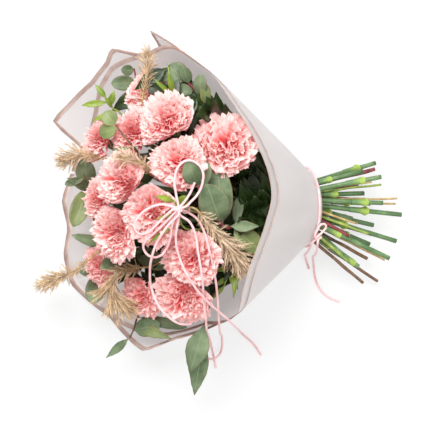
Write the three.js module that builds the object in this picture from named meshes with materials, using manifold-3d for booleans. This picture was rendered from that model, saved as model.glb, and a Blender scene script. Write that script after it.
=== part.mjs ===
// A hand-tied bunch of carnations, lying on its back.
//
// Fourteen pink carnations stand out of a spiral of eucalyptus, ruscus and reed plumes. All
// the stems pass one waist, where a tie holds them, and fan out again below it. Two sheets of
// translucent film make a wide cone round the bunch, gathered by a pink cord at its neck, and
// a second pink cord is tied in a bow at the front.
//
// Millimetres. +X runs along the bunch to the cut stem ends, +Z is up, and the flowers look
// up and towards -X. The origin is on the surface that the bunch lies on, under the middle of
// its box without the free cords.
import * as THREE from 'three';
import { mergeVertices } from 'three/addons/utils/BufferGeometryUtils.js';
import Module from 'manifold-3d';

const wasm = await Module();
wasm.setup();

// ---------------------------------------------------------------- driving dimensions
const GAP = 0.4; // clearance between pieces that would touch
const BLADE = 0.7; // thickness of a leaf
const FILM = 0.8; // thickness of a film sheet
const SHEET_STEP = 1.7; // from the middle of one film sheet to the middle of the other
const CORD = 2.6; // diameter of the pink cord

// The film cone: its apex, the direction of its middle line and of its front, and how fast
// its half height and half width grow along it. A neck of NECK_CORE stays open at the apex.
const APEX = new THREE.Vector3(142, 9, 24);
const TILT = THREE.MathUtils.degToRad(25);
const ALONG = new THREE.Vector3(-Math.cos(TILT), 0, Math.sin(TILT));
const FRONT = new THREE.Vector3(Math.sin(TILT), 0, Math.cos(TILT));
const SIDE = new THREE.Vector3(0, 1, 0);
const HEIGHT_GROWTH = 0.625;
const WIDTH_GROWTH = 0.84;
const NECK_CORE = 13;
const FLOOR_BLEND = 6; // how gently the sheet turns from the slope to the flat it rests on
const TIE_REACH = 47; // the neck cord, along the cone from its apex

// The stems: their waist, neck and cut ends.
const WAIST_REACH = 96;
const STEM_RADIUS = 2.8;
const STEM_SIDES = 5;
const END_CENTRE = new THREE.Vector3(186, -8, 28.4);
const NECK_SPREAD = { side: 1.5, up: 1.15 }; // how much wider the bundle is at the neck
const END_SPREAD = { side: 4.2, up: 2 }; // and at the middle of the cut ends
const WAIST_ASPECT = 1.4; // the bundle is wider than it is high
const SECTIONS = [112, 130, 155]; // reaches above the waist where stems are kept apart

// ---------------------------------------------------------------- the film rims
// Round the cone from the front: angle in degrees, then how far the inner and the outer
// sheet reach from the apex. The corners of the sheets stand out of the round.
const RIM = [
  [0, 127, 118], [12, 128, 118], [24, 132, 122], [35, 144, 134], [43, 160, 148], [54, 172, 160],
  [68, 178, 168], [80, 188, 180], [86, 200, 194], [91, 208, 212], [97, 211, 230], [102, 213, 212],
  [109, 216, 214], [116, 223, 224], [122, 232, 248], [129, 242, 248], [139, 248, 257],
  [149, 248, 274], [156, 250, 288], [162, 256, 252], [170, 264, 260], [178, 272, 268],
  [186, 266, 262], [194, 272, 270], [203, 268, 260], [210, 254, 250], [219, 236, 236],
  [230, 216, 226], [242, 194, 216], [248, 180, 188], [257, 158, 168], [268, 152, 150],
  [284, 148, 142], [300, 152, 144], [315, 160, 150], [327, 166, 154], [337, 154, 144],
  [348, 142, 132],
];
const ROWS = [40, 56, 82, 114]; // rows that both sheets share, then each its own rim

// ---------------------------------------------------------------- the flowers
// The middle of each head, its radius and how many rows of petals it has, how far its stem's
// cut end is from END_CENTRE along x, and how far the stem's last joint is from that end.
const BLOOMS = [
  { at: [-55, 104, 140], radius: 30, rows: 4, cut: 0, joint: 22 },
  { at: [11, 78, 135], radius: 33, rows: 4, cut: -19, joint: 41 },
  { at: [-41, 57, 158], radius: 29, rows: 4, cut: 2, joint: 20 },
  { at: [-102, 37, 146], radius: 28, rows: 4, cut: -30, joint: 30 },
  { at: [-72, 2, 160], radius: 32, rows: 4, cut: 24, joint: 41 },
  { at: [-109, -19, 134], radius: 28, rows: 4, cut: 19, joint: 62 },
  { at: [-26, -49, 146], radius: 29, rows: 4, cut: 10, joint: 64 },
  { at: [-37, -91, 118], radius: 29, rows: 4, cut: -24, joint: 9 },
  { at: [-92, 91, 110], radius: 26, rows: 3, cut: -18, joint: 34 },
  { at: [-76, 140, 88], radius: 23, rows: 3, cut: -3, joint: 23 },
  { at: [-128, 84, 88], radius: 22, rows: 3, cut: -8, joint: 28 },
  { at: [-130, 17, 80], radius: 22, rows: 3, cut: -5, joint: 35 },
  { at: [-82, -92, 80], radius: 23, rows: 3, cut: -40, joint: 24 },
  { at: [-128, -59, 76], radius: 22, rows: 3, cut: -10, joint: 30 },
];
const LOOK_FROM = new THREE.Vector3(30, 11, 10); // each head turns its back to this point
const FACETS = { 4: 20, 3: 16 }; // facets round a head, by its rows of petals
const CALYX = { radius: 6.4, height: 22 };
const HEAD_DEPTH = 0.62; // from the middle of a head down to its calyx, in head radii
// Rim and valley of each row of petals from the skirt to the crown, in head radii.
const PETAL_ROWS = [
  { rim: [1.0, -0.1], valley: [0.6, -0.04] },
  { rim: [0.88, 0.2], valley: [0.46, 0.14] },
  { rim: [0.66, 0.42], valley: [0.27, 0.3] },
  { rim: [0.38, 0.56] },
];
const CROWN = 0.42; // height of the middle of the crown, in head radii

// ---------------------------------------------------------------- the foliage
// Each spray: the radius of its stem, where along x its end is cut, its route from the tip to
// near the waist, and its leaves. A leaf leaves the stem `from` mm from the tip and runs to its own tip.
const SPRAYS = {
  eucalyptus_1: {
    radius: 2,
    cut: -22,
    route: [[-90, 163, 68], [-86, 146, 66], [-70, 119, 60], [-41, 88, 60]],
    leaves: [
      { from: 3, tip: [-104, 161, 72], width: 12, form: 'round' },
      { from: 17, tip: [-115, 146, 72], width: 17, form: 'round' },
      { from: 28, tip: [-102, 131, 66], width: 12, form: 'round' },
    ],
  },
  eucalyptus_2: {
    radius: 1.8,
    cut: -16,
    route: [[-107, 97, 128], [-100, 88, 134], [-90, 76, 136], [-83, 68, 128], [-79, 64, 106],
      [-52, 50, 84]],
    leaves: [
      { from: 1, tip: [-119, 111, 128], width: 18, form: 'round' },
      { from: 5, tip: [-125, 88, 120], width: 17, form: 'round' },
      { from: 34, tip: [-111, 70, 132], width: 4, form: 'narrow' },
    ],
  },
  eucalyptus_3: {
    radius: 2.2,
    cut: -5,
    route: [[-46, 160, 112], [-30, 145, 108], [-13, 124, 104], [-1, 106, 96]],
    leaves: [
      { from: 22, tip: [-51, 162, 112], width: 24, form: 'round' },
      { from: 25, tip: [-35, 161, 118], width: 13, form: 'round' },
      { from: 34, tip: [-47, 131, 104], width: 20, form: 'round' },
      { from: 7, tip: [-63, 148, 110], width: 13, form: 'round' },
      { from: 44, tip: [-16, 153, 116], width: 15, form: 'round' },
      { from: 56, tip: [-11, 143, 112], width: 12, form: 'round' },
      { from: 62, tip: [-34, 121, 100], width: 16, form: 'round' },
    ],
  },
  eucalyptus_4: {
    radius: 2,
    cut: -6,
    route: [[-145, 43, 76], [-141, 32, 56], [-128, 12, 48], [-101, 4, 48], [-39, 4, 52]],
    leaves: [
      { from: 20, tip: [-144, 63, 88], width: 22, form: 'round' },
      { from: 28, tip: [-164, 41, 76], width: 11, form: 'long' },
      { from: 24, tip: [-157, -13, 74], width: 22, form: 'round' },
      { from: 40, tip: [-123, -23, 92], width: 16, form: 'round' },
      { from: 5, tip: [-167, 34, 66], width: 9, form: 'round' },
    ],
  },
  eucalyptus_5: {
    radius: 2,
    cut: -12,
    route: [[-131, -68, 44], [-115, -53, 44], [-92, -40, 46], [-56, -28, 50]],
    leaves: [
      { from: 4, tip: [-138, -99, 58], width: 23, form: 'round' },
      { from: 1, tip: [-152, -63, 56], width: 9, form: 'round' },
      { from: 44, tip: [-125, -58, 110], width: 22, form: 'round' },
      { from: 52, tip: [-53, -58, 96], width: 22, form: 'round' },
      { from: 46, tip: [-158, -22, 84], width: 14, form: 'round' },
    ],
  },
  eucalyptus_6: {
    radius: 1.8,
    cut: 0,
    route: [[-95, -137, 60], [-90, -126, 63], [-86, -113, 58], [-67, -95, 52], [-17, -48, 56]],
    leaves: [
      { from: 9, tip: [-61, -120, 72], width: 21, form: 'round' },
      { from: 1, tip: [-122, -160, 52], width: 10, form: 'long' },
      { from: 16, tip: [-48, -137, 76], width: 13, form: 'long' },
      { from: 26, tip: [-31, -125, 66], width: 12, form: 'round' },
    ],
  },
  eucalyptus_7: {
    radius: 2.2,
    cut: -36,
    route: [[-20, 35, 160], [-12, 16, 154], [10, -13, 134], [31, -10, 104]],
    leaves: [
      { from: 4, tip: [-29, 57, 181], width: 22, form: 'round' },
      { from: 10, tip: [-10, 58, 158], width: 18, form: 'round' },
      { from: 56, tip: [-9, 33, 166], width: 33, form: 'round' },
      { from: 60, tip: [3, 51, 144], width: 27, form: 'round' },
      { from: 72, tip: [48, -12, 130], width: 13, form: 'long' },
      { from: 78, tip: [50, -40, 118], width: 24, form: 'round' },
      { from: 84, tip: [27, 20, 104], width: 12, form: 'round' },
    ],
  },
  eucalyptus_8: {
    radius: 1.8,
    cut: -18,
    route: [[-12, -130, 98], [-10, -112, 108], [-4, -93, 104], [11, -60, 92]],
    leaves: [
      { from: 16, tip: [-28, -175, 82], width: 26, form: 'long' },
      { from: 1, tip: [-23, -201, 60], width: 21, form: 'long' },
    ],
  },
  ruscus_1: {
    radius: 1.4,
    cut: -34,
    route: [[-119, 128, 98], [-115, 119, 98], [-105, 113, 94], [-94, 101, 84], [-61, 76, 74]],
    leaves: [
      { from: 5, tip: [-146, 120, 96], width: 8, form: 'narrow' },
      { from: 1, tip: [-131, 143, 98], width: 7, form: 'narrow' },
      { from: 10, tip: [-110, 136, 102], width: 8, form: 'narrow' },
      { from: 20, tip: [-135, 103, 94], width: 7, form: 'narrow' },
      { from: 14, tip: [-121, 130, 104], width: 5, form: 'narrow' },
    ],
  },
  ruscus_2: {
    radius: 1.3,
    cut: 2,
    route: [[-52, 165, 116], [-48, 146, 118], [-44, 127, 114], [-35, 108, 98], [0, 70, 84]],
    leaves: [
      { from: 36, tip: [-51, 154, 124], width: 7, form: 'narrow' },
      { from: 40, tip: [-67, 148, 120], width: 5, form: 'narrow' },
      { from: 46, tip: [-71, 140, 116], width: 9, form: 'narrow' },
      { from: 6, tip: [-60, 157, 116], width: 3, form: 'narrow' },
    ],
  },
  ruscus_3: {
    radius: 1.4,
    cut: -36,
    route: [[7, -84, 112], [15, -64, 112], [25, -45, 100]],
    leaves: [
      { from: 18, tip: [0, -77, 116], width: 6, form: 'narrow' },
      { from: 22, tip: [25, -81, 116], width: 7, form: 'narrow' },
      { from: 8, tip: [-2, -91, 112], width: 5, form: 'narrow' },
      { from: 30, tip: [-2, -60, 112], width: 6, form: 'narrow' },
      { from: 44, tip: [20, -89, 122], width: 9, form: 'long' },
    ],
  },
  ruscus_4: {
    radius: 1.4,
    cut: -13,
    route: [[-43, 16, 176], [-37, -4, 170], [-34, -12, 160], [-24, -16, 140], [0, -14, 112]],
    leaves: [
      { from: 1, tip: [-62, 20, 184], width: 7, form: 'narrow' },
      { from: 14, tip: [-63, -5, 180], width: 4, form: 'narrow' },
      { from: 22, tip: [-71, -31, 174], width: 5, form: 'narrow' },
      { from: 10, tip: [-29, 20, 184], width: 12, form: 'round' },
    ],
  },
};
// Half width of a leaf along its length, as [place, share of the full half width].
const LEAF_FORMS = {
  round: [[0, 0.1], [0.13, 0.12], [0.36, 0.88], [0.72, 0.9], [1, 0.14]],
  long: [[0, 0.14], [0.12, 0.3], [0.35, 1], [0.6, 0.9], [0.85, 0.4], [1, 0.05]],
  narrow: [[0, 0.2], [0.32, 0.95], [0.68, 0.85], [1, 0.08]],
};
const LEAF_ARCH = 0.08; // rise of a leaf's middle over its ends, in leaf lengths
const LEAF_CUP = 0.14; // rise of its edges over its rib, in half widths

// Routes of the reed plumes from the tip to near the waist, and the length of the head.
const PLUMES = {
  plume_1: {
    head: 62,
    cut: -8,
    route: [[-74, 179, 112], [-73, 162, 117], [-74, 146, 120], [-78, 130, 122], [-76, 113, 120],
      [-66, 97, 104], [-45, 72, 84]],
  },
  plume_2: {
    head: 52,
    cut: 20,
    route: [[-169, 59, 86], [-148, 66, 96], [-130, 63, 106], [-116, 60, 100], [-100, 54, 76],
      [-50, 33, 68]],
  },
  plume_3: {
    head: 48,
    cut: 20,
    route: [[-103, 61, 166], [-88, 60, 168], [-76, 54, 164], [-69, 43, 148], [-60, 40, 120],
      [-27, 32, 98]],
  },
  plume_4: {
    head: 80,
    cut: -14,
    route: [[-198, -80, 50], [-172, -69, 68], [-153, -61, 84], [-134, -45, 99], [-117, -33, 96],
      [-94, -24, 74], [-39, -10, 64]],
  },
  plume_5: {
    head: 84,
    cut: 6,
    route: [[-92, -105, 92], [-108, -96, 98], [-116, -79, 102], [-106, -63, 104],
      [-87, -58, 104], [-69, -56, 92], [-39, -42, 78]],
  },
  plume_6: {
    head: 76,
    cut: -26,
    route: [[31, -62, 122], [23, -46, 134], [11, -29, 146], [-4, -14, 160], [-15, 1, 172],
      [-24, 8, 178], [-30, 7, 175], [-31, 6, 163], [-26, 4, 140], [-5, 0, 110]],
  },
};
const CULM_RADIUS = 1.4;
const TUFTS = 11; // tufts on one plume
const TUFT = { length: 17, radius: 1.7, lean: 0.55, sides: 3 };

// ---------------------------------------------------------------- the pink cord
const BOW = { knot: [-38, 6, 184], size: [7, 6.5, 5], ring: [-31, 6, 167], ringRadius: 3.6 };
const BOW_STUB = [[-36, 9, 186], [-27, 21, 186], [-21, 34, 186]];
const NECK_KNOT = { angle: -45, size: [5, 5.5, 5] };
const NECK_LOOP = [[111, -24, 72], [113, -13, 75], [120, -8, 74], [125, -16, 71],
  [121, -25, 69], [112, -26, 70]];
// Each free strand from where it leaves its knot to its end, and its number of steps.
const STRANDS = {
  bow_loop_top: {
    steps: 11,
    route: [[-39, 14, 186], [-41, 24, 185], [-42, 39, 184], [-37, 52, 183], [-28, 57, 182],
      [-19, 54, 181], [-13, 46, 181], [-13, 34, 181], [-18, 22, 183], [-27, 12, 186]],
  },
  bow_loop_left: {
    steps: 9,
    route: [[-46, 9, 186], [-56, 11, 186], [-69, 7, 187], [-79, -1, 186], [-84, -11, 184],
      [-80, -19, 183], [-72, -19, 184], [-62, -11, 185], [-53, -2, 186], [-46, 4, 186]],
  },
  bow_loop_low: {
    steps: 10,
    route: [[-45, -1, 184], [-54, -10, 183], [-66, -21, 180], [-74, -29, 177], [-74, -38, 170],
      [-67, -44, 168], [-58, -43, 168], [-51, -35, 170], [-47, -24, 174], [-45, -12, 179],
      [-43, -5, 181]],
  },
  bow_tail_long: {
    steps: 10,
    route: [[-40, -2, 188], [-49, -11, 188], [-58, -24, 185], [-63, -34, 180], [-67, -47, 172],
      [-69, -60, 155], [-68, -78, 140], [-61, -96, 138], [-50, -109, 136], [-38, -117, 128],
      [-26, -118, 116]],
  },
  bow_tail_1: {
    steps: 13,
    route: [[-38, -3, 184], [-40, -14, 181], [-41, -28, 174], [-37, -46, 169], [-26, -69, 163],
      [-12, -88, 150], [4, -104, 130], [14, -113, 118], [21, -121, 98], [24, -126, 56],
      [27, -131, 16], [33, -138, 3], [44, -148, 1.5], [53, -161, 1.5]],
  },
  bow_tail_2: {
    steps: 13,
    route: [[-34, -2, 181], [-27, -7, 178], [-21, -19, 175], [-18, -38, 172], [-15, -56, 170],
      [-13, -73, 158], [-12, -91, 141], [-10, -112, 124], [-9, -126, 104], [-8, -133, 72],
      [-8, -135, 34], [-7, -139, 10], [-5, -147, 3.2], [-2, -161, 1.7], [1, -176, 1.5]],
  },
  bow_tail_3: {
    steps: 16,
    route: [[-27, 2, 170], [-20, -3, 168], [-13, -14, 167], [-6, -38, 165], [0, -66, 150],
      [3, -92, 130], [4, -110, 116], [5, -124, 100], [6, -131, 66], [6, -135, 28], [8, -142, 5],
      [8, -152, 3], [4, -161, 6.5], [-3, -165, 6.5], [-12, -163, 2.4]],
  },
  neck_tail_1: {
    steps: 6,
    route: [[107, -33, 63], [105, -39, 54], [103, -43, 42], [102, -45, 26], [103, -47, 9],
      [105, -53, 2], [108, -62, 1.5]],
  },
  neck_tail_2: {
    steps: 8,
    route: [[114, -32, 67], [114, -39, 56], [113, -44, 42], [112, -47, 24], [112, -49, 9],
      [113, -56, 3.2], [117, -78, 1.7], [127, -92, 1.5], [143, -100, 1.5]],
  },
};

// ---------------------------------------------------------------- colours
const LOOKS = {
  petal: { color: 0xf4b3b4, roughness: 0.85, metalness: 0 },
  stem: { color: 0x5f9a55, roughness: 0.55, metalness: 0 },
  eucalyptus: { color: 0x6f8f78, roughness: 0.7, metalness: 0 },
  ruscus: { color: 0x5f8a2c, roughness: 0.5, metalness: 0 },
  plume: { color: 0xc4a67c, roughness: 0.95, metalness: 0 },
  film: { color: 0xe9e6e6, roughness: 0.45, metalness: 0 },
  cord: { color: 0xeec6c8, roughness: 0.75, metalness: 0 },
  twine: { color: 0xb79a6b, roughness: 0.9, metalness: 0 },
};

// ---------------------------------------------------------------- small helpers
const vector = (place) => new THREE.Vector3(...place);
const bouquet = new THREE.Group();

// Shared draws, the same every time.
let seed = 20241;
function draw(low, high) {
  seed = (seed * 16807) % 2147483647;
  return low + ((high - low) * seed) / 2147483647;
}

// A geometry with shared corners only, and without the slivers that welding leaves.
function weld(geometry) {
  geometry.deleteAttribute('normal');
  geometry.deleteAttribute('uv');
  const welded = mergeVertices(geometry, 1e-4);
  const corners = welded.getIndex().array;
  const kept = [];
  for (let i = 0; i < corners.length; i += 3) {
    const [a, b, c] = [corners[i], corners[i + 1], corners[i + 2]];
    if (a !== b && b !== c && c !== a) kept.push(a, b, c);
  }
  welded.setIndex(kept);
  return welded;
}

function toSolid(geometry) {
  const welded = weld(geometry);
  return new wasm.Manifold(new wasm.Mesh({
    numProp: 3,
    vertProperties: new Float32Array(welded.getAttribute('position').array),
    triVerts: new Uint32Array(welded.getIndex().array),
  }));
}

function toGeometry(solid) {
  const mesh = solid.getMesh();
  const geometry = new THREE.BufferGeometry();
  geometry.setAttribute('position', new THREE.BufferAttribute(mesh.vertProperties, 3));
  geometry.setIndex(new THREE.BufferAttribute(mesh.triVerts, 1));
  return geometry;
}

const join = (solids) => solids.reduce((whole, piece) => whole.add(piece)).simplify(0.16);

// The largest body of a cut solid: the loose scraps are dropped.
function largest(solid) {
  return solid.decompose().sort((a, b) => b.volume() - a.volume())[0];
}

// What later pieces keep clear of.
const taken = [];
function keepClear(solid) {
  const box = solid.boundingBox();
  taken.push({ solid, box: new THREE.Box3(vector(box.min), vector(box.max)) });
}

function trimmed(solid) {
  const own = solid.boundingBox();
  const box = new THREE.Box3(vector(own.min), vector(own.max));
  const near = taken.filter((other) => other.box.intersectsBox(box));
  return largest(near.reduce((rest, other) => rest.subtract(other.solid), solid));
}

function place(name, geometry, look) {
  const mesh = new THREE.Mesh(geometry, new THREE.MeshStandardMaterial(LOOKS[look]));
  mesh.name = name;
  bouquet.add(mesh);
}

// A thin closed sheet on both sides of a surface. `surface(u, v)` gives a point for u and v
// from 0 to 1, and both faces are split into triangles alike.
function sheet(across, stations, surface, thickness) {
  const grid = new THREE.PlaneGeometry(1, 1, across, stations.length - 1);
  const count = grid.getAttribute('position').count;
  const places = [];
  const columns = across + 1;
  const step = 1e-3;
  for (const side of [0.5, -0.5]) {
    for (let i = 0; i < count; i += 1) {
      const u = (i % columns) / across;
      const v = stations[Math.floor(i / columns)];
      const [before, after] = [Math.max(0, u - step), Math.min(1, u + step)];
      const [under, over] = [Math.max(0, v - step), Math.min(1, v + step)];
      const along = surface(after, v).sub(surface(before, v));
      const up = surface(u, over).sub(surface(u, under));
      const normal = along.cross(up).normalize();
      places.push(...surface(u, v).addScaledVector(normal, side * thickness));
    }
  }
  const corners = [];
  const faces = grid.getIndex().array;
  for (let i = 0; i < faces.length; i += 3) {
    const [a, b, c] = [faces[i], faces[i + 1], faces[i + 2]];
    corners.push(a, c, b, a + count, b + count, c + count);
  }
  const edge = [];
  const last = stations.length - 1;
  for (let i = 0; i < across; i += 1) edge.push([i, i + 1]);
  for (let j = 0; j < last; j += 1) edge.push([j * columns + across, (j + 1) * columns + across]);
  for (let i = across; i > 0; i -= 1) edge.push([last * columns + i, last * columns + i - 1]);
  for (let j = last; j > 0; j -= 1) edge.push([j * columns, (j - 1) * columns]);
  for (const [a, b] of edge) corners.push(b, a, a + count, b, a + count, b + count);
  const geometry = new THREE.BufferGeometry();
  geometry.setAttribute('position', new THREE.Float32BufferAttribute(places, 3));
  geometry.setIndex(corners);
  return geometry;
}

// A round bar through points, each with its own radius.
function bar(places, sides) {
  const last = places.length - 1;
  const rod = new THREE.CylinderGeometry(1, 1, 1, sides, last);
  const towards = (from, to) => to.clone().sub(from).normalize();
  const frames = [];
  let across = new THREE.Vector3(0.31, 0.74, -0.6);
  places.forEach(([middle], i) => {
    const tangent = towards(places[Math.max(0, i - 1)][0], middle);
    tangent.add(towards(middle, places[Math.min(last, i + 1)][0])).normalize();
    across = across.clone().addScaledVector(tangent, -across.dot(tangent)).normalize();
    frames.push({ across, other: tangent.cross(across) });
  });
  const points = rod.getAttribute('position');
  for (let i = 0; i < points.count; i += 1) {
    const row = Math.round((0.5 - points.getY(i)) * last);
    const [middle, radius] = places[row];
    const point = middle.clone()
      .addScaledVector(frames[row].across, points.getX(i) * radius)
      .addScaledVector(frames[row].other, points.getZ(i) * radius);
    points.setXYZ(i, ...point);
  }
  return rod;
}

const smooth = (points) => new THREE.CatmullRomCurve3(points, false, 'centripetal');

// ---------------------------------------------------------------- the film cone
// A point of the cone: angle in degrees from the front, reach along it from the apex.
function cone(angle, reach) {
  const turn = THREE.MathUtils.degToRad(angle);
  const high = Math.hypot(HEIGHT_GROWTH * reach, NECK_CORE);
  const wide = Math.hypot(WIDTH_GROWTH * reach, NECK_CORE);
  const point = APEX.clone().addScaledVector(ALONG, reach)
    .addScaledVector(FRONT, high * Math.cos(turn))
    .addScaledVector(SIDE, wide * Math.sin(turn));
  const floor = FILM / 2 + SHEET_STEP;
  const rise = point.z - floor;
  if (rise < -FLOOR_BLEND) point.z = floor;
  else if (rise < FLOOR_BLEND) point.z = floor + (rise + FLOOR_BLEND) ** 2 / (4 * FLOOR_BLEND);
  return point;
}

// The same point moved outwards from the cone's wall.
function outside(angle, reach, offset) {
  const around = cone(angle + 0.1, reach).sub(cone(angle - 0.1, reach));
  const along = cone(angle, reach + 0.1).sub(cone(angle, reach - 0.1));
  return cone(angle, reach).addScaledVector(around.cross(along).normalize(), offset);
}

// One sheet of film, open by a slit along its back seam.
function filmSheet(offset, rimColumn, seam, thickness) {
  const start = RIM.findIndex((row) => row[0] >= seam);
  const turned = [...RIM.slice(start), ...RIM.slice(0, start)];
  const angles = turned.map((row, i) => row[0] + (i >= RIM.length - start ? 360 : 0));
  const rims = turned.map((row) => row[rimColumn]);
  const slit = 0.8;
  angles.push(angles[0] + 360 - slit);
  rims.push(rims[0]);
  const spans = angles.length - 1;
  const last = ROWS.length + 2;
  const stations = Array.from({ length: last }, (_, j) => j / (last - 1));
  const surface = (u, v) => {
    const at = u * spans;
    const i = Math.min(spans - 1, Math.floor(at));
    const angle = THREE.MathUtils.lerp(angles[i], angles[i + 1], at - i);
    const rim = THREE.MathUtils.lerp(rims[i], rims[i + 1], at - i);
    const reaches = [...ROWS, (ROWS.at(-1) + rim) / 2, rim];
    const row = v * (last - 1);
    const j = Math.min(last - 2, Math.floor(row));
    return outside(angle, THREE.MathUtils.lerp(reaches[j], reaches[j + 1], row - j), offset);
  };
  return sheet(spans, stations, surface, thickness);
}

// A closed ring of cord round a loop of points.
function ring(pointAt, radius, turns, sides) {
  const torus = new THREE.TorusGeometry(2, 1, sides, turns);
  const points = torus.getAttribute('position');
  for (let i = 0; i < points.count; i += 1) {
    const [x, y, z] = [points.getX(i), points.getY(i), points.getZ(i)];
    const turn = Math.atan2(y, x);
    const middle = pointAt(turn);
    const along = pointAt(turn + 0.01).sub(pointAt(turn - 0.01)).normalize();
    const outward = middle.clone().sub(pointAt(turn + Math.PI)).normalize();
    outward.addScaledVector(along, -outward.dot(along)).normalize();
    const side = outward.clone().cross(along);
    middle.addScaledVector(outward, (Math.hypot(x, y) - 2) * radius);
    middle.addScaledVector(side, z * radius);
    points.setXYZ(i, ...middle);
  }
  return torus;
}

function lump(middle, size) {
  const ball = new THREE.SphereGeometry(1, 10, 6);
  ball.scale(...size);
  ball.translate(...middle);
  return ball;
}

// ---------------------------------------------------------------- the bundle
const waist = APEX.clone().addScaledVector(ALONG, WAIST_REACH);

// Pushes round spots of one section apart until none touch, and gathers them towards the
// middle meanwhile.
function spread(spots, pull) {
  const rounds = 600;
  for (let round = 0; round < rounds; round += 1) {
    const gather = round < rounds - 100 ? pull : 0;
    for (const spot of spots) {
      spot.side *= 1 - gather / WAIST_ASPECT ** 2;
      spot.up *= 1 - gather;
    }
    for (let i = 0; i < spots.length; i += 1) {
      for (let j = i + 1; j < spots.length; j += 1) {
        const [a, b] = [spots[i], spots[j]];
        const [side, up] = [b.side - a.side, b.up - a.up];
        const apart = Math.hypot(side, up);
        const short = a.radius + b.radius + 1.4 - apart;
        if (short > 0) {
          const push = short / 2 / apart;
          a.side -= side * push;
          a.up -= up * push;
          b.side += side * push;
          b.up += up * push;
        }
      }
    }
  }
}

// Where each stem passes the waist and the sections above it: every stem keeps to its own
// side of the bundle, so that stems fan out without crossing.
function packBundle(members) {
  for (const member of members) {
    const aim = member.aim.clone().sub(APEX);
    member.reach = aim.dot(ALONG);
    member.high = { side: aim.dot(SIDE), up: aim.dot(FRONT) };
    const slope = 22 / (member.reach - WAIST_REACH);
    const { radius, high } = member;
    member.waist = { radius, side: high.side * slope, up: high.up * slope };
    member.sections = [];
  }
  spread(members.map((member) => member.waist), 0.012);
  for (const reach of SECTIONS) {
    const passing = members.filter((member) => member.reach > reach + 12);
    const spots = passing.map(({ radius, waist: low, high, reach: top }) => {
      const share = (reach - WAIST_REACH) / (top - WAIST_REACH);
      const side = THREE.MathUtils.lerp(low.side, high.side, share);
      const up = THREE.MathUtils.lerp(low.up, high.up, share);
      return { radius, reach, side, up };
    });
    spread(spots, 0);
    passing.forEach((member, i) => member.sections.unshift(spots[i]));
  }
}

function headOf(bloom) {
  const middle = vector(bloom.at);
  const facing = middle.clone().sub(LOOK_FROM).normalize();
  const base = middle.clone().addScaledVector(facing, -HEAD_DEPTH * bloom.radius);
  return { middle, facing, base };
}

const members = [];
BLOOMS.forEach((bloom, i) => {
  const { base, facing } = headOf(bloom);
  const aim = base.clone().addScaledVector(facing, -CALYX.height - 4);
  members.push({ name: `carnation_stem_${i + 1}`, radius: STEM_RADIUS, cut: bloom.cut, aim });
});
for (const [name, spray] of Object.entries(SPRAYS)) {
  const { radius, cut, route } = spray;
  members.push({ name, radius, cut, aim: vector(route.at(-1)) });
}
for (const [name, plume] of Object.entries(PLUMES)) {
  members.push({ name, radius: CULM_RADIUS, cut: plume.cut, aim: vector(plume.route.at(-1)) });
}
packBundle(members);
const memberOf = Object.fromEntries(members.map((member) => [member.name, member]));

// The lower part of a stem: the sections, the waist, the neck and the cut end. Below the
// waist the whole bundle grows evenly wider, so straight stems stay clear of one another.
function lowerRoute(member) {
  const { side, up } = member.waist;
  const at = (reach, sideways, upwards) => APEX.clone().addScaledVector(ALONG, reach)
    .addScaledVector(SIDE, sideways).addScaledVector(FRONT, upwards);
  const neckX = at(TIE_REACH, 0, 0).x;
  const end = END_CENTRE.clone();
  end.x += member.cut;
  const share = (end.x - neckX) / (END_CENTRE.x - neckX);
  end.y += side * THREE.MathUtils.lerp(NECK_SPREAD.side, END_SPREAD.side, share);
  end.z += up * THREE.MathUtils.lerp(NECK_SPREAD.up, END_SPREAD.up, share);
  return [...member.sections.map((spot) => at(spot.reach, spot.side, spot.up)),
    at(WAIST_REACH, side, up), at(TIE_REACH, side * NECK_SPREAD.side, up * NECK_SPREAD.up), end];
}

// ---------------------------------------------------------------- carnations
// The outline of a head turned once round, without its petals, for what must stay clear.
function headHull(bloom) {
  const outline = [[0, -0.64], [0.24, -0.64], [0.6, -0.46], [1.03, -0.14], [1.03, 0], [0.9, 0.3],
    [0.68, 0.5], [0.4, 0.64], [0, 0.64]];
  const turned = outline.map(([r, h]) => new THREE.Vector2(r, h).multiplyScalar(bloom.radius));
  return new THREE.LatheGeometry(turned, 14);
}

// A head's petals: rows of flared rims between deep valleys, with notched and waved edges.
function headPetals(bloom) {
  const facets = FACETS[bloom.rows];
  const rows = PETAL_ROWS.slice(0, bloom.rows);
  const profile = [[0, -HEAD_DEPTH], [CALYX.radius / bloom.radius, -HEAD_DEPTH]];
  const kinds = ['base', 'base'];
  rows.forEach((row, i) => {
    profile.push(row.rim);
    kinds.push('rim');
    if (i < rows.length - 1) {
      profile.push(row.valley);
      kinds.push('valley');
    }
  });
  profile.push([0, bloom.rows === 4 ? CROWN : CROWN - 0.1]);
  kinds.push('crown');
  const outline = profile.map(([r, h]) => new THREE.Vector2(r, h).multiplyScalar(bloom.radius));
  const lathe = new THREE.LatheGeometry(outline, facets);
  const points = lathe.getAttribute('position');
  const rings = kinds.map((kind, k) => Array.from({ length: facets }, (_, i) => {
    if (kind !== 'rim') return [kind === 'valley' ? draw(0.9, 1.1) : 1, 0];
    const tooth = (i + k) % 4;
    const reach = [0.74, 0.97, 0.88, 1][tooth] + draw(-0.05, 0.05);
    const lift = (tooth === 0 ? -0.05 : 0.04) + draw(-0.05, 0.05);
    return [reach, lift * bloom.radius];
  }));
  for (let i = 0; i < points.count; i += 1) {
    const [reach, lift] = rings[i % kinds.length][Math.floor(i / kinds.length) % facets];
    points.setXYZ(i, points.getX(i) * reach, points.getY(i) + lift, points.getZ(i) * reach);
  }
  return lathe;
}

// Stands a geometry on a head's place, facing the way the head looks.
function aimHead(geometry, bloom) {
  const { middle, facing } = headOf(bloom);
  const turn = new THREE.Quaternion().setFromUnitVectors(new THREE.Vector3(0, 1, 0), facing);
  geometry.applyQuaternion(turn);
  geometry.translate(...middle);
  return geometry;
}

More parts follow.
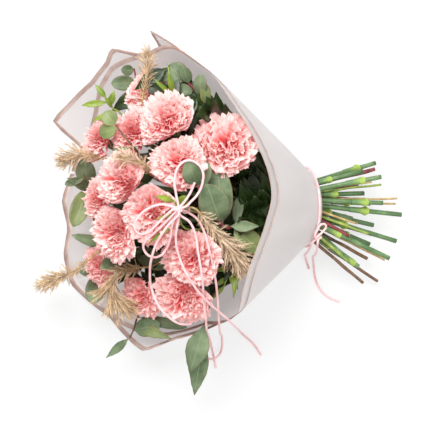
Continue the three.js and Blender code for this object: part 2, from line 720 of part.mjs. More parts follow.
// Presses a head's points back from each neighbour, up to the plane halfway between them.
function pressHeads(geometry, bloom) {
  const band = 10;
  const points = geometry.getAttribute('position');
  const middle = vector(bloom.at);
  for (const other of BLOOMS) {
    const across = vector(other.at).sub(middle);
    const apart = across.length();
    if (other === bloom || apart > bloom.radius + other.radius + 4) continue;
    across.normalize();
    const limit = (apart * bloom.radius) / (bloom.radius + other.radius) - GAP / 2;
    for (let i = 0; i < points.count; i += 1) {
      const point = new THREE.Vector3().fromBufferAttribute(points, i);
      const past = point.clone().sub(middle).dot(across) - (limit - band);
      if (past > 0) {
        point.addScaledVector(across, band * (1 - Math.exp(-past / band)) - past);
        points.setXYZ(i, ...point);
      }
    }
  }
  return geometry;
}

// A stem with its calyx at the top and the swollen joint near its cut end.
function carnationStem(bloom, lower, extra) {
  const { facing, base } = headOf(bloom);
  const below = (distance) => base.clone().addScaledVector(facing, -distance);
  const [neck, end] = lower.slice(-2);
  const rise = neck.clone().sub(end).normalize();
  const above = (distance) => end.clone().addScaledVector(rise, bloom.joint + distance);
  const { radius, height } = CALYX;
  const thin = STEM_RADIUS * 0.95;
  const places = [
    [below(GAP), radius],
    [below(height * 0.45), radius],
    [below(height * 0.8), radius * 0.7],
    [below(height + 2), STEM_RADIUS],
    ...lower.slice(0, -1).map((point) => [point, STEM_RADIUS]),
    [above(7), STEM_RADIUS],
    [above(2), STEM_RADIUS * 1.5],
    [above(-2), STEM_RADIUS * 1.35],
    [above(-3.5), thin],
    [end, thin],
  ];
  return bar(places.map(([point, size]) => [point, size + extra]), STEM_SIDES);
}

for (const member of members) member.lower = lowerRoute(member);
BLOOMS.forEach((bloom, i) => {
  const name = `carnation_${i + 1}`;
  const petals = pressHeads(aimHead(headPetals(bloom), bloom), bloom);
  place(name, toGeometry(toSolid(petals)), 'petal');
  keepClear(toSolid(pressHeads(aimHead(headHull(bloom), bloom), bloom)));
  const { name: stem, lower } = memberOf[`carnation_stem_${i + 1}`];
  place(stem, toGeometry(toSolid(carnationStem(bloom, lower, 0))), 'stem');
  keepClear(toSolid(carnationStem(bloom, lower, GAP)));
});

// ---------------------------------------------------------------- film and ties
const SHEETS = { wrap_inner: [0, 1, 170], wrap_outer: [SHEET_STEP, 2, 203] };
for (const [name, [offset, rimColumn, seam]] of Object.entries(SHEETS)) {
  place(name, toGeometry(toSolid(filmSheet(offset, rimColumn, seam, FILM))), 'film');
  keepClear(toSolid(filmSheet(offset, rimColumn, seam, FILM + 2 * GAP)));
}

// The hidden tie round the waist of the bundle.
const bundle = Math.max(...members.map((member) => (
  Math.hypot(member.waist.side / WAIST_ASPECT, member.waist.up) + member.radius)));
const TWINE = 1.2;
const SLACK = 2;
const waistLoop = (turn) => waist.clone()
  .addScaledVector(SIDE, (bundle + SLACK + TWINE) * WAIST_ASPECT * Math.sin(turn))
  .addScaledVector(FRONT, (bundle + SLACK + TWINE) * Math.cos(turn));
const waistTie = toSolid(ring(waistLoop, TWINE, 16, 4));
place('waist_tie', toGeometry(waistTie), 'twine');
keepClear(toSolid(ring(waistLoop, TWINE + GAP, 16, 4)));

const cordRound = (points, steps) => {
  const curve = smooth(points.map(vector));
  const section = new THREE.Shape();
  section.absarc(0, 0, CORD / 2, 0, 2 * Math.PI);
  const settings = { extrudePath: curve, steps, curveSegments: 4, bevelEnabled: false };
  return new THREE.ExtrudeGeometry(section, settings);
};

// The neck cord lies on the outer sheet, with its knot and a small loop over the stems.
const cordRest = SHEET_STEP + FILM / 2 + GAP + CORD / 2;
const neckLoop = (turn) => outside(THREE.MathUtils.radToDeg(turn), TIE_REACH, cordRest);
const neckKnot = outside(NECK_KNOT.angle, TIE_REACH, cordRest + 4.2);
const neckTie = join([
  toSolid(ring(neckLoop, CORD / 2, 24, 6)),
  toSolid(lump(neckKnot, NECK_KNOT.size)),
  toSolid(cordRound(NECK_LOOP, 6)),
]);
place('neck_tie', toGeometry(neckTie), 'cord');
keepClear(neckTie);

// The bow's knot sits beside a plume's culm and holds it with one turn.
const [ringX, ringY, ringZ] = BOW.ring;
const culmLoop = (turn) => new THREE.Vector3(
  ringX + BOW.ringRadius * Math.cos(turn), ringY + BOW.ringRadius * Math.sin(turn), ringZ);
const bowKnot = join([
  toSolid(lump(BOW.knot, BOW.size)),
  toSolid(ring(culmLoop, CORD / 2, 10, 6)),
  toSolid(cordRound([BOW.knot, [ringX - BOW.ringRadius, ringY, ringZ]], 1)),
  toSolid(cordRound(BOW_STUB, 3)),
]);
place('bow_knot', toGeometry(bowKnot), 'cord');
keepClear(bowKnot);

for (const [name, strand] of Object.entries(STRANDS)) {
  const cord = toSolid(cordRound(strand.route, strand.steps));
  place(name, toGeometry(cord), 'cord');
  keepClear(cord);
}

// ---------------------------------------------------------------- sprays and plumes
function leafBlade(path, leaf, extra) {
  const root = path.getPoint(leaf.from / path.getLength());
  const tip = vector(leaf.tip);
  const run = tip.clone().sub(root);
  const length = run.length();
  run.normalize();
  const face = new THREE.Vector3(0, 0, 1).addScaledVector(run, -run.z).normalize();
  const across = face.clone().cross(run);
  const form = LEAF_FORMS[leaf.form];
  const half = leaf.width / 2 + extra;
  const surface = (u, v) => {
    const k = Math.max(1, form.findIndex(([at]) => at >= v));
    const [[from, less], [to, more]] = [form[k - 1], form[k]];
    const width = THREE.MathUtils.mapLinear(v, from, to, less, more) * half;
    const sideways = 2 * u - 1;
    const rise = LEAF_ARCH * length * 4 * v * (1 - v) + LEAF_CUP * width * sideways ** 2;
    return root.clone().addScaledVector(run, v * length)
      .addScaledVector(across, sideways * width).addScaledVector(face, rise);
  };
  return sheet(2, form.map(([at]) => at), surface, BLADE + 2 * extra);
}

// The stem of a spray or plume, thinner towards its tip, and the path of its middle line.
function sprayStem(points, radius, extra) {
  const path = new THREE.CurvePath();
  for (let i = 1; i < points.length; i += 1) {
    path.add(new THREE.LineCurve3(points[i - 1], points[i]));
  }
  const reached = [0, ...path.getCurveLengths()];
  const places = points.map((point, i) => (
    [point, radius * Math.min(1, 0.45 + reached[i] / 160) + extra]));
  return { path, solid: toSolid(bar(places, 4)) };
}

function sprayOf(spray, lower, extra) {
  const { path, solid } = sprayStem([...spray.route.map(vector), ...lower], spray.radius, extra);
  const blades = spray.leaves.map((leaf) => toSolid(leafBlade(path, leaf, extra)));
  return join([solid, ...blades]);
}

// Tufts turn round the culm by the golden angle and lean towards the plume's tip.
function plumeOf(plume, lower, extra) {
  const { path, solid } = sprayStem([...plume.route.map(vector), ...lower], CULM_RADIUS, extra);
  const golden = Math.PI * (3 - Math.sqrt(5));
  const tufts = [];
  for (let i = 0; i < TUFTS; i += 1) {
    const share = (i + 0.5) / TUFTS;
    const at = (share * plume.head) / path.getLength();
    const root = path.getPoint(at);
    const tangent = root.clone().sub(path.getPoint(at + 0.01)).normalize();
    const across = new THREE.Vector3(0.2, 0.3, 1).cross(tangent).normalize();
    const outward = across.applyAxisAngle(tangent, i * golden);
    const length = TUFT.length * (0.45 + 0.9 * Math.sin(Math.PI * Math.min(0.85, share + 0.1)) ** 2);
    const bend = tangent.clone().multiplyScalar(TUFT.lean).add(outward).normalize();
    const middle = root.clone().addScaledVector(bend, length * 0.5);
    const tip = middle.clone().addScaledVector(bend, length * 0.3)
      .addScaledVector(tangent, length * 0.3);
    const places = [[root, 0.6], [middle, 1], [tip, 0.2]];
    tufts.push(toSolid(bar(places.map(([point, size]) => (
      [point, size * TUFT.radius + extra])), TUFT.sides)));
  }
  return join([solid, ...tufts]);
}

for (const [name, plume] of Object.entries(PLUMES)) {
  const { lower } = memberOf[name];
  place(name, toGeometry(trimmed(plumeOf(plume, lower, 0))), 'plume');
  keepClear(plumeOf(plume, lower, GAP));
}
for (const [name, spray] of Object.entries(SPRAYS)) {
  const { lower } = memberOf[name];
  const look = name.startsWith('ruscus') ? 'ruscus' : 'eucalyptus';
  place(name, toGeometry(trimmed(sprayOf(spray, lower, 0))), look);
  keepClear(sprayOf(spray, lower, GAP));
}

// ---------------------------------------------------------------- the resting place
// The bunch is set down with its lowest point on the surface, centred over the origin. The
// free strands of cord don't count.
const box = new THREE.Box3();
for (const mesh of bouquet.children) {
  if (!(mesh.name in STRANDS)) box.expandByObject(mesh);
}
const middle = box.getCenter(new THREE.Vector3());
for (const mesh of bouquet.children) {
  mesh.geometry.translate(-middle.x, -middle.y, -box.min.z);
}

export default bouquet;
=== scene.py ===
# %% [markdown]
# # A wrapped bunch of carnations
#
# The real object is a gift bouquet. Fourteen pink carnations stand in a spiral of eucalyptus,
# ruscus and reed plumes, inside a cone of two sheets of frosted film with a rose-gold border.
# One pink cord ties the neck, and a second one is tied in a bow at the front.
#
# The part comes in as a frame of plain solids. Each of them says where a piece is and how far it
# reaches. This lesson builds the fine pieces in their places: ruffled petals, veined leaves,
# feathery plumes, thin film and round cord. Nothing is moved away from its solid.

import math
import random

import bpy
from mathutils import Matrix, Quaternion, Vector


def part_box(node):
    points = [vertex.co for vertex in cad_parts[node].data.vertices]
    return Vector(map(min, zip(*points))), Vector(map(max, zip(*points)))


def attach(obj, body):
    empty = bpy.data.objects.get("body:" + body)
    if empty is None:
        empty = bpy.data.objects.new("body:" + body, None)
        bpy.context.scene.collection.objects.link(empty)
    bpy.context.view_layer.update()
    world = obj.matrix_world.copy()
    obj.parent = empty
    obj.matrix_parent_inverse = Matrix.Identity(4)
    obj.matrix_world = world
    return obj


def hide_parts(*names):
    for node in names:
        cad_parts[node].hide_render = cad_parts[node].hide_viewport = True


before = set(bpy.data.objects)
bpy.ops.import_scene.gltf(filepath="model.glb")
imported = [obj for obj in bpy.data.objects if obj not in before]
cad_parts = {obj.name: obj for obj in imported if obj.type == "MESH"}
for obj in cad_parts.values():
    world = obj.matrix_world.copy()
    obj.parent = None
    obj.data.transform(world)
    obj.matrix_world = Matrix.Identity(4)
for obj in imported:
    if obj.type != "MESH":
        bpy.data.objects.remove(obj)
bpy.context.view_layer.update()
print("solids in the frame:", len(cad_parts))

# %% [markdown]
# ## Where things are
#
# The places in this lesson are in millimetres, as a florist would measure them on the table: x
# runs along the bunch to the cut ends, y across it and z up. The bunch's axis is tilted. It starts
# at the apex of the film cone and runs up to the flowers, and a place near it is given by its
# reach along the axis and its way off it, to the side and up. The frame's own origin is a few
# millimetres away, under the middle of the finished part. The twine round the waist is even on
# all sides, so the middle of its solid gives the difference.

# %% Millimetres to the frame's metres
APEX = Vector((142, 9, 24))
TILT = math.radians(25)
ALONG = Vector((-math.cos(TILT), 0, math.sin(TILT)))
FRONT = Vector((math.sin(TILT), 0, math.cos(TILT)))
SIDE = Vector((0, 1, 0))
WAIST_REACH = 96


def at(reach, side=0, up=0):
    """The place at a reach along the bunch's axis, and off it to the side and up."""
    return APEX + ALONG * reach + SIDE * side + FRONT * up


def from_axis(place):
    """Reach, side and up of a place: the other way round."""
    off = place - APEX
    return off.dot(ALONG), off.dot(SIDE), off.dot(FRONT)


twine_low, twine_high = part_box("waist_tie")
SHIFT = (twine_low + twine_high) / 2 - at(WAIST_REACH) * 0.001


def here(place):
    """A place in millimetres as a point of the frame, in metres."""
    return Vector(place) * 0.001 + SHIFT


def back_in_mm(vertex):
    """A mesh vertex of the frame as a place in millimetres."""
    return (vertex.co - SHIFT) * 1000


print("shift in mm:", [round(x * 1000, 2) for x in SHIFT])

# %% [markdown]
# ## The camera
#
# The photograph looks at the front of the bunch. The bunch lies on its back here, so the camera
# hangs two metres above it and looks straight down, with the stems to the right. A long lens
# from that far keeps the flowers nearly as large as the film behind them.

# %% Hang the camera over the bunch
CAMERA_HEIGHT = 2.0
SENSOR = 36
PICTURE_WIDTH = 0.4945

bpy.ops.object.select_all(action="DESELECT")
bpy.ops.object.camera_add(location=(SHIFT.x, SHIFT.y, CAMERA_HEIGHT), rotation=(0, 0, 0))
camera = bpy.context.object
camera.name = "camera_above"
camera.data.sensor_width = SENSOR
camera.data.lens = SENSOR * CAMERA_HEIGHT / PICTURE_WIDTH
camera.data.dof.use_dof = False
bpy.context.scene.camera = camera
print("lens in mm:", round(camera.data.lens, 1))

# %% [markdown]
# ## Materials from nodes
#
# Every finish below is a Principled shader with a few texture nodes in front of it. One helper
# turns a colour as it is written in hex, which is in sRGB, into the linear values that the shader
# works with. Another one adds any node, sets its values and makes its links. The bark of a twig,
# the wax on a stem, the wear of a print and the blush of a petal are all soft patches between a
# few colours, which on a petal also run from its root to its tip. So one function makes each
# material of that kind.

# %% A colour in hex
def colour(code):
    """A hex colour in sRGB as linear red, green, blue and a full alpha."""
    parts = [int(code[i:i + 2], 16) / 255 for i in (0, 2, 4)]
    linear = [c / 12.92 if c <= 0.04045 else ((c + 0.055) / 1.055) ** 2.4 for c in parts]
    return (*linear, 1.0)


print("the pink of a petal in linear values:", [round(c, 3) for c in colour("f6a6a3")])


# %% A material and its nodes
def new_material(name, **values):
    """A material whose shader has these plain values on its sockets."""
    material = bpy.data.materials.new(name)
    material.use_nodes = True
    for key, value in values.items():
        socket = material.node_tree.nodes["Principled BSDF"].inputs[key.replace("_", " ")]
        socket.default_value = value
    return material


def add_node(material, kind, inputs, feeds=None, stops=(), **settings):
    """Adds a node whose inputs are values, sockets, or nodes, of which the first output is meant.

    Stops fill a colour ramp, and feeds names the shader's socket that the node is linked to.
    """
    tree = material.node_tree
    node = tree.nodes.new("ShaderNode" + kind)
    for name, value in settings.items():
        setattr(node, name, value)
    for name, value in inputs.items():
        if isinstance(value, bpy.types.Node):
            value = value.outputs[0]
        if isinstance(value, bpy.types.NodeSocket):
            tree.links.new(value, node.inputs[name])
        else:
            node.inputs[name].default_value = value
    for i, (place, code) in enumerate(stops):
        ramp = node.color_ramp.elements
        stop = ramp[i] if i < len(ramp) else ramp.new(place)
        stop.position = place
        stop.color = colour(code)
    if feeds:
        tree.links.new(node.outputs[0], tree.nodes["Principled BSDF"].inputs[feeds])
    return node


# %% A material in patches of colour
def patched_material(name, scale, detail, stops, patchy=1, along=0, rough=0.5, relief=None,
                     **values):
    """A material in soft patches of colour, 1000 / scale mm wide, with finer ones in them.

    Patchy weighs the patches, and along weighs a run of colour from a piece's root to its tip,
    as its UV map has it. Relief is a strength and a height in metres, for patches that stand up.
    """
    material = new_material(name, **values)
    where = add_node(material, "TexCoord", {})
    patches = add_node(material, "TexNoise", {
        "Vector": where.outputs["Object"], "Scale": scale, "Detail": detail, "Roughness": rough,
    })
    tone = patches
    if along:
        spot = add_node(material, "UVMap", {}, uv_map="UVMap")
        parts = add_node(material, "SeparateXYZ", {"Vector": spot})
        run = add_node(material, "Math", {0: parts.outputs["Y"], 1: along}, operation="MULTIPLY")
        tone = add_node(material, "Math", {0: patches, 1: patchy, 2: run}, operation="MULTIPLY_ADD")
    add_node(material, "ValToRGB", {"Fac": tone}, "Base Color", stops)
    if relief:
        add_node(material, "Bump", {
            "Height": patches, "Strength": relief[0], "Distance": relief[1],
        }, "Normal")
    return material


# %% [markdown]
# ## Handing a piece to the frame
#
# A finished piece takes the place of its solid and rides on the part's body. Its object sits at
# the origin, unturned, with its place in its mesh, so patterns on Object coordinates stay where
# they are. The same few operators join, copy and thicken pieces all through the lesson, so each
# of them has a helper.

# %% Helpers for pieces
def select(*pieces):
    """Selects these pieces and no others, the first as the active one, for the next operator."""
    bpy.ops.object.select_all(action="DESELECT")
    for piece in pieces:
        piece.select_set(True)
    if pieces:
        bpy.context.view_layer.objects.active = pieces[0]


def join_pieces(pieces):
    """Joins meshes into the first of them, as Ctrl+J does."""
    select(*pieces)
    bpy.ops.object.join()
    return pieces[0]


def copy_of(piece):
    """A copy of a piece with its own mesh, as Shift+D makes it."""
    select(piece)
    bpy.ops.object.duplicate(linked=False)
    return bpy.context.object


def thicken(piece, thickness):
    """Gives the active sheet its thickness in metres, half of it to each side."""
    bpy.ops.object.modifier_add(type="SOLIDIFY")
    wall = piece.modifiers[-1]
    wall.thickness = thickness
    wall.offset = 0
    bpy.ops.object.modifier_apply(modifier=wall.name)


def hand_over(piece, name, node, materials=()):
    """Names a finished piece and puts it in the place of its solid, in these materials."""
    piece.name = name
    piece.data.name = name
    if materials:
        piece.data.materials.clear()
    for material in materials:
        piece.data.materials.append(material)
    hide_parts(node)
    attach(piece, "root")


def smoothstep(x, low, high):
    """0 below low, 1 above high, and a soft turn between them."""
    t = max(0.0, min(1.0, (x - low) / (high - low)))
    return t * t * (3 - 2 * t)


# %% [markdown]
# ## The pink cord
#
# All the cord is 2.6 mm waxed cotton: limp, smooth and slightly shiny, with a fine twist that shows
# only as a soft ripple of light. A cord is a curve with a round bevel, so it keeps its thickness
# round every bend, and its points are the route that the real one takes over the flowers and
# the edge of the film.

# %% The cord's finish
CORD = 2.6

# Patches of about 11 mm, where the wax is thicker.
cord_finish = patched_material(
    "Waxed cotton cord", 90, 2, [(0.3, "e4aeb1"), (0.7, "f4cdcd")],
    Roughness=0.5, IOR=1.5, Sheen_Weight=0.25, Sheen_Roughness=0.5)
where = add_node(cord_finish, "TexCoord", {})
# The twist of the yarns is about 1 mm wide.
yarns = add_node(cord_finish, "TexWave", {
    "Vector": where.outputs["Object"], "Scale": 170, "Distortion": 2, "Detail": 1,
}, wave_type="BANDS", bands_direction="DIAGONAL")
add_node(cord_finish, "Bump", {
    "Height": yarns.outputs["Fac"], "Strength": 0.25, "Distance": 0.0002,
}, "Normal")


# %% A cord along a route
def smooth_curve(places, steps):
    """A curve with soft bends through places in millimetres, with closed ends."""
    select()
    bpy.ops.curve.primitive_bezier_curve_add(location=(0, 0, 0))
    curve = bpy.context.object
    spline = curve.data.splines[0]
    spline.bezier_points.add(len(places) - 2)
    for point, place in zip(spline.bezier_points, places):
        point.co = here(place)
        point.handle_left_type = "AUTO"
        point.handle_right_type = "AUTO"
    curve.data.resolution_u = steps
    curve.data.use_fill_caps = True
    return curve


def cord_curve(route, closed=False, thick=CORD):
    """A round cord through the points of a route, as a curve object."""
    cord = smooth_curve(route, 10)
    cord.data.splines[0].use_cyclic_u = closed
    cord.data.use_fill_caps = not closed
    cord.data.bevel_depth = thick / 2000
    cord.data.bevel_resolution = 3
    return cord


# %% [markdown]
# ### Bow loops, tails and neck tails
#
# Three loops and four tails leave the bow's knot, and two tails leave the knot at the neck. Each
# of them is a cord along its own route. A loop ends back in the knot, and a tail is cut off
# bare. Three of the bow's tails hang over the film's edge and end on the surface.

# %% Routes of the free cords
STRANDS = {
    "bow_loop_top": [
        (-39, 14, 186), (-41, 24, 185), (-42, 39, 184), (-37, 52, 183), (-28, 57, 182),
        (-19, 54, 181), (-13, 46, 181), (-13, 34, 181), (-18, 22, 183), (-27, 12, 186),
    ],
    "bow_loop_left": [
        (-46, 9, 186), (-56, 11, 186), (-69, 7, 187), (-79, -1, 186), (-84, -11, 184),
        (-80, -19, 183), (-72, -19, 184), (-62, -11, 185), (-53, -2, 186), (-46, 4, 186),
    ],
    "bow_loop_low": [
        (-45, -1, 184), (-54, -10, 183), (-66, -21, 180), (-74, -29, 177), (-74, -38, 170),
        (-67, -44, 168), (-58, -43, 168), (-51, -35, 170), (-47, -24, 174), (-45, -12, 179),
        (-43, -5, 181),
    ],
    "bow_tail_long": [
        (-40, -2, 188), (-49, -11, 188), (-58, -24, 185), (-63, -34, 180), (-67, -47, 172),
        (-69, -60, 155), (-68, -78, 140), (-61, -96, 138), (-50, -109, 136), (-38, -117, 128),
        (-26, -118, 116),
    ],
    "bow_tail_1": [
        (-38, -3, 184), (-40, -14, 181), (-41, -28, 174), (-37, -46, 169), (-26, -69, 163),
        (-12, -88, 150), (4, -104, 130), (14, -113, 118), (21, -121, 98), (24, -126, 56),
        (27, -131, 16), (33, -138, 3), (44, -148, 1.5), (53, -161, 1.5),
    ],
    "bow_tail_2": [
        (-34, -2, 181), (-27, -7, 178), (-21, -19, 175), (-18, -38, 172), (-15, -56, 170),
        (-13, -73, 158), (-12, -91, 141), (-10, -112, 124), (-9, -126, 104), (-8, -133, 72),
        (-8, -135, 34), (-7, -139, 10), (-5, -147, 3.2), (-2, -161, 1.7), (1, -176, 1.5),
    ],
    "bow_tail_3": [
        (-27, 2, 170), (-20, -3, 168), (-13, -14, 167), (-6, -38, 165), (0, -66, 150), (3, -92, 130),
        (4, -110, 116), (5, -124, 100), (6, -131, 66), (6, -135, 28), (8, -142, 5), (8, -152, 3),
        (4, -161, 6.5), (-3, -165, 6.5), (-12, -163, 2.4),
    ],
    "neck_tail_1": [
        (107, -33, 63), (105, -39, 54), (103, -43, 42), (102, -45, 26), (103, -47, 9), (105, -53, 2),
        (108, -62, 1.5),
    ],
    "neck_tail_2": [
        (114, -32, 67), (114, -39, 56), (113, -44, 42), (112, -47, 24), (112, -49, 9),
        (113, -56, 3.2), (117, -78, 1.7), (127, -92, 1.5), (143, -100, 1.5),
    ],
}

for name, route in STRANDS.items():
    cord = cord_curve(route)
    hand_over(cord, f"cord_{name}", name, [cord_finish])
    tuple(here(route[0]))

# %% [markdown]
# ## The film cone, as a rule
#
# The wrap is a wide cone that lies on its back. A point of it is given by an angle round the
# cone from its front and a reach along it from the apex. The cone is wider than it is high, its
# neck stays open round the stems, and where it would go through the table it lies flat.

# %% A point of the cone
FLOOR = 2.1
FLOOR_BLEND = 6
NECK_CORE = 13
UP_SLOPE = 0.625
SIDE_SLOPE = 0.84


def half_size(reach):
    """How far the cone stands off the axis at a reach, to the side and up."""
    return math.hypot(SIDE_SLOPE * reach, NECK_CORE), math.hypot(UP_SLOPE * reach, NECK_CORE)


def cone(angle, reach):
    """A point of the cone in millimetres."""
    turn = math.radians(angle)
    wide, high = half_size(reach)
    point = at(reach, wide * math.sin(turn), high * math.cos(turn))
    rise = point.z - FLOOR
    if rise < -FLOOR_BLEND:
        point.z = FLOOR
    elif rise < FLOOR_BLEND:
        point.z = FLOOR + (rise + FLOOR_BLEND) ** 2 / (4 * FLOOR_BLEND)
    return point


def outside(angle, reach, offset):
    """The same point moved outwards from the cone's wall."""
    around = cone(angle + 0.1, reach) - cone(angle - 0.1, reach)
    along = cone(angle, reach + 0.1) - cone(angle, reach - 0.1)
    return cone(angle, reach) + around.cross(along).normalized() * offset


print("the cone's neck is at", [round(c) for c in cone(0, 47)])

# %% [markdown]
# ## Neck cord and its knot
#
# The neck cord goes round the outer sheet, close to its end. On the photo's side it ends in an
# overhand knot over the stems, with one small loop. The ring and the loop are cords like the
# others. A tight knot is a cord wound round itself, so it is three short turns of the same cord,
# each leaning another way, pressed together into one lump.

# %% A knot of turns of cord
def turn_of_cord(middle, lean, spin, radius):
    """One turn of cord round a middle: a torus, a little flattened, leaned and spun."""
    select()
    bpy.ops.mesh.primitive_torus_add(
        location=(0, 0, 0), major_segments=28, minor_segments=12,
        major_radius=radius / 1000, minor_radius=CORD / 2000)
    turn = bpy.context.object
    bpy.ops.object.mode_set(mode="EDIT")
    bpy.ops.mesh.select_all(action="SELECT")
    bpy.ops.transform.resize(value=(1, 0.8, 1))
    for angle, axis in ((lean, "X"), (spin, "Z")):
        bpy.ops.transform.rotate(value=math.radians(angle), orient_axis=axis,
                                 center_override=(0, 0, 0))
    bpy.ops.transform.translate(value=here(middle))
    bpy.ops.object.mode_set(mode="OBJECT")
    return turn


def as_mesh(curve):
    """A curve made a mesh, so that it can be joined to other pieces."""
    select(curve)
    bpy.ops.object.convert(target="MESH")
    return bpy.context.object


def lead_out(knot, route):
    """The cord from inside a knot to a strand's start, where it runs 2.5 mm along the strand."""
    first, second = Vector(route[0]), Vector(route[1])
    before = first - (second - first).normalized() * 2.5
    return as_mesh(cord_curve([knot, before, first]))


def tie_knot(name, node, middle, cords, turns, routes):
    """Joins cords, the turns of a knot and the starts of its strands to one piece."""
    pieces = [as_mesh(cord) for cord in cords]
    pieces += [turn_of_cord(middle + Vector(off), *turn) for off, *turn in turns]
    pieces += [lead_out(middle, route) for route in routes]
    knot = join_pieces(pieces)
    hand_over(knot, name, node, [cord_finish])
    bpy.ops.object.shade_smooth()
    return knot


# %% The neck tie
SHEET_STEP = 1.7
TIE_REACH = 47
# The ring lies on the outer sheet, and its knot stands out from it.
RING_REST = SHEET_STEP + 0.8 + CORD / 2
KNOT_REST = RING_REST + 4.2

ring_route = [outside(angle, TIE_REACH, RING_REST) for angle in range(0, 360, 15)]
knot_at = outside(-45, TIE_REACH, KNOT_REST)
NECK_LOOP = [(111, -24, 72), (113, -17, 74), (119, -10, 74), (123, -12, 72), (119, -19, 71),
             (112, -26, 70)]
neck_tie = tie_knot(
    "neck_cord_and_knot", "neck_tie", knot_at,
    [cord_curve(ring_route, closed=True), cord_curve([knot_at, *NECK_LOOP, knot_at])],
    [((0, 0, 0), 20, 10, 2.4), ((1, 1, 0.5), 75, 60, 2.3), ((-1, -1, 0), 80, -50, 2.3)],
    [route for name, route in STRANDS.items() if name.startswith("neck")])
print("knot of the neck cord:", [round(c) for c in knot_at])

# %% [markdown]
# ## The bow's knot
#
# The bow isn't tied to the wrap. Its knot hangs on the culm of a plume by one turn of cord, at
# the very front of the bunch. The knot has the same three turns, a little larger, and a short
# stub of cord stands out of it. Each tail comes out of the knot at one end, and each loop at both.

# %% The bow knot with its stub
BOW = Vector((-38, 6, 184))
RING = Vector((-31, 6, 167))
RING_RADIUS = 3.6
STUB = [(-38, 7, 185), (-36, 9, 186), (-27, 21, 186), (-21, 34, 186)]
culm_ring = [RING + Vector((RING_RADIUS * math.cos(a), RING_RADIUS * math.sin(a), 0))
             for a in [math.radians(45 * i) for i in range(8)]]
hanger = [BOW, (-37, 6, 176), RING - Vector((RING_RADIUS, 0, 0))]
bow_routes = [route for name, route in STRANDS.items() if name.startswith("bow")]
bow_routes += [route[::-1] for name, route in STRANDS.items() if "loop" in name]
bow_knot = tie_knot(
    "bow_knot_of_cord", "bow_knot", BOW,
    [cord_curve(STUB), cord_curve(culm_ring, closed=True), cord_curve(hanger)],
    [((0, 0, 0), 15, 20, 3.2), ((1, 1, 0), 70, 70, 3.0), ((-1, 0, 0), 80, -30, 2.8)], bow_routes)
print("faces of the bow's knot:", len(bow_knot.data.polygons))

# %% [markdown]
# ## How the stems run
#
# A hand-tied bunch is a bundle. All the stems pass one waist, and every stem keeps to its own
# side of it, from its flower down to its cut end. The rule below gives each stem its place at
# the waist: the stems start where their flowers pull them, are gathered towards the middle, and
# push each other apart until none touch. Three sections above the waist are sorted the same way,
# and below the waist the whole bundle grows evenly wider.

# %% Flowers to place
# Each bloom: middle of the head, its radius, rows of petals in its solid, where its stem's end
# is cut along x, and how far the last joint is from that end.
BLOOMS = [
    ((-55, 104, 140), 30, 4, 0, 22),
    ((11, 78, 135), 33, 4, -19, 41),
    ((-41, 57, 158), 29, 4, 2, 20),
    ((-102, 37, 146), 28, 4, -30, 30),
    ((-72, 2, 160), 32, 4, 24, 41),
    ((-109, -19, 134), 28, 4, 19, 62),
    ((-26, -49, 146), 29, 4, 10, 64),
    ((-37, -91, 118), 29, 4, -24, 9),
    ((-92, 91, 110), 26, 3, -18, 34),
    ((-76, 140, 88), 23, 3, -3, 23),
    ((-128, 84, 88), 22, 3, -8, 28),
    ((-130, 17, 80), 22, 3, -5, 35),
    ((-82, -92, 80), 23, 3, -40, 24),
    ((-128, -59, 76), 22, 3, -10, 30),
]
LOOK_FROM = Vector((30, 11, 10))
HEAD_DEPTH = 0.62
CALYX_HEIGHT = 22
STEM_RADIUS = 2.8
CULM_RADIUS = 1.4

# %% [markdown]
# ### Foliage in the bunch
#
# A spray is a woody stem with its leaves. Each leaf leaves the stem some millimetres from the
# spray's tip and runs to a place of its own, as read from the photograph.

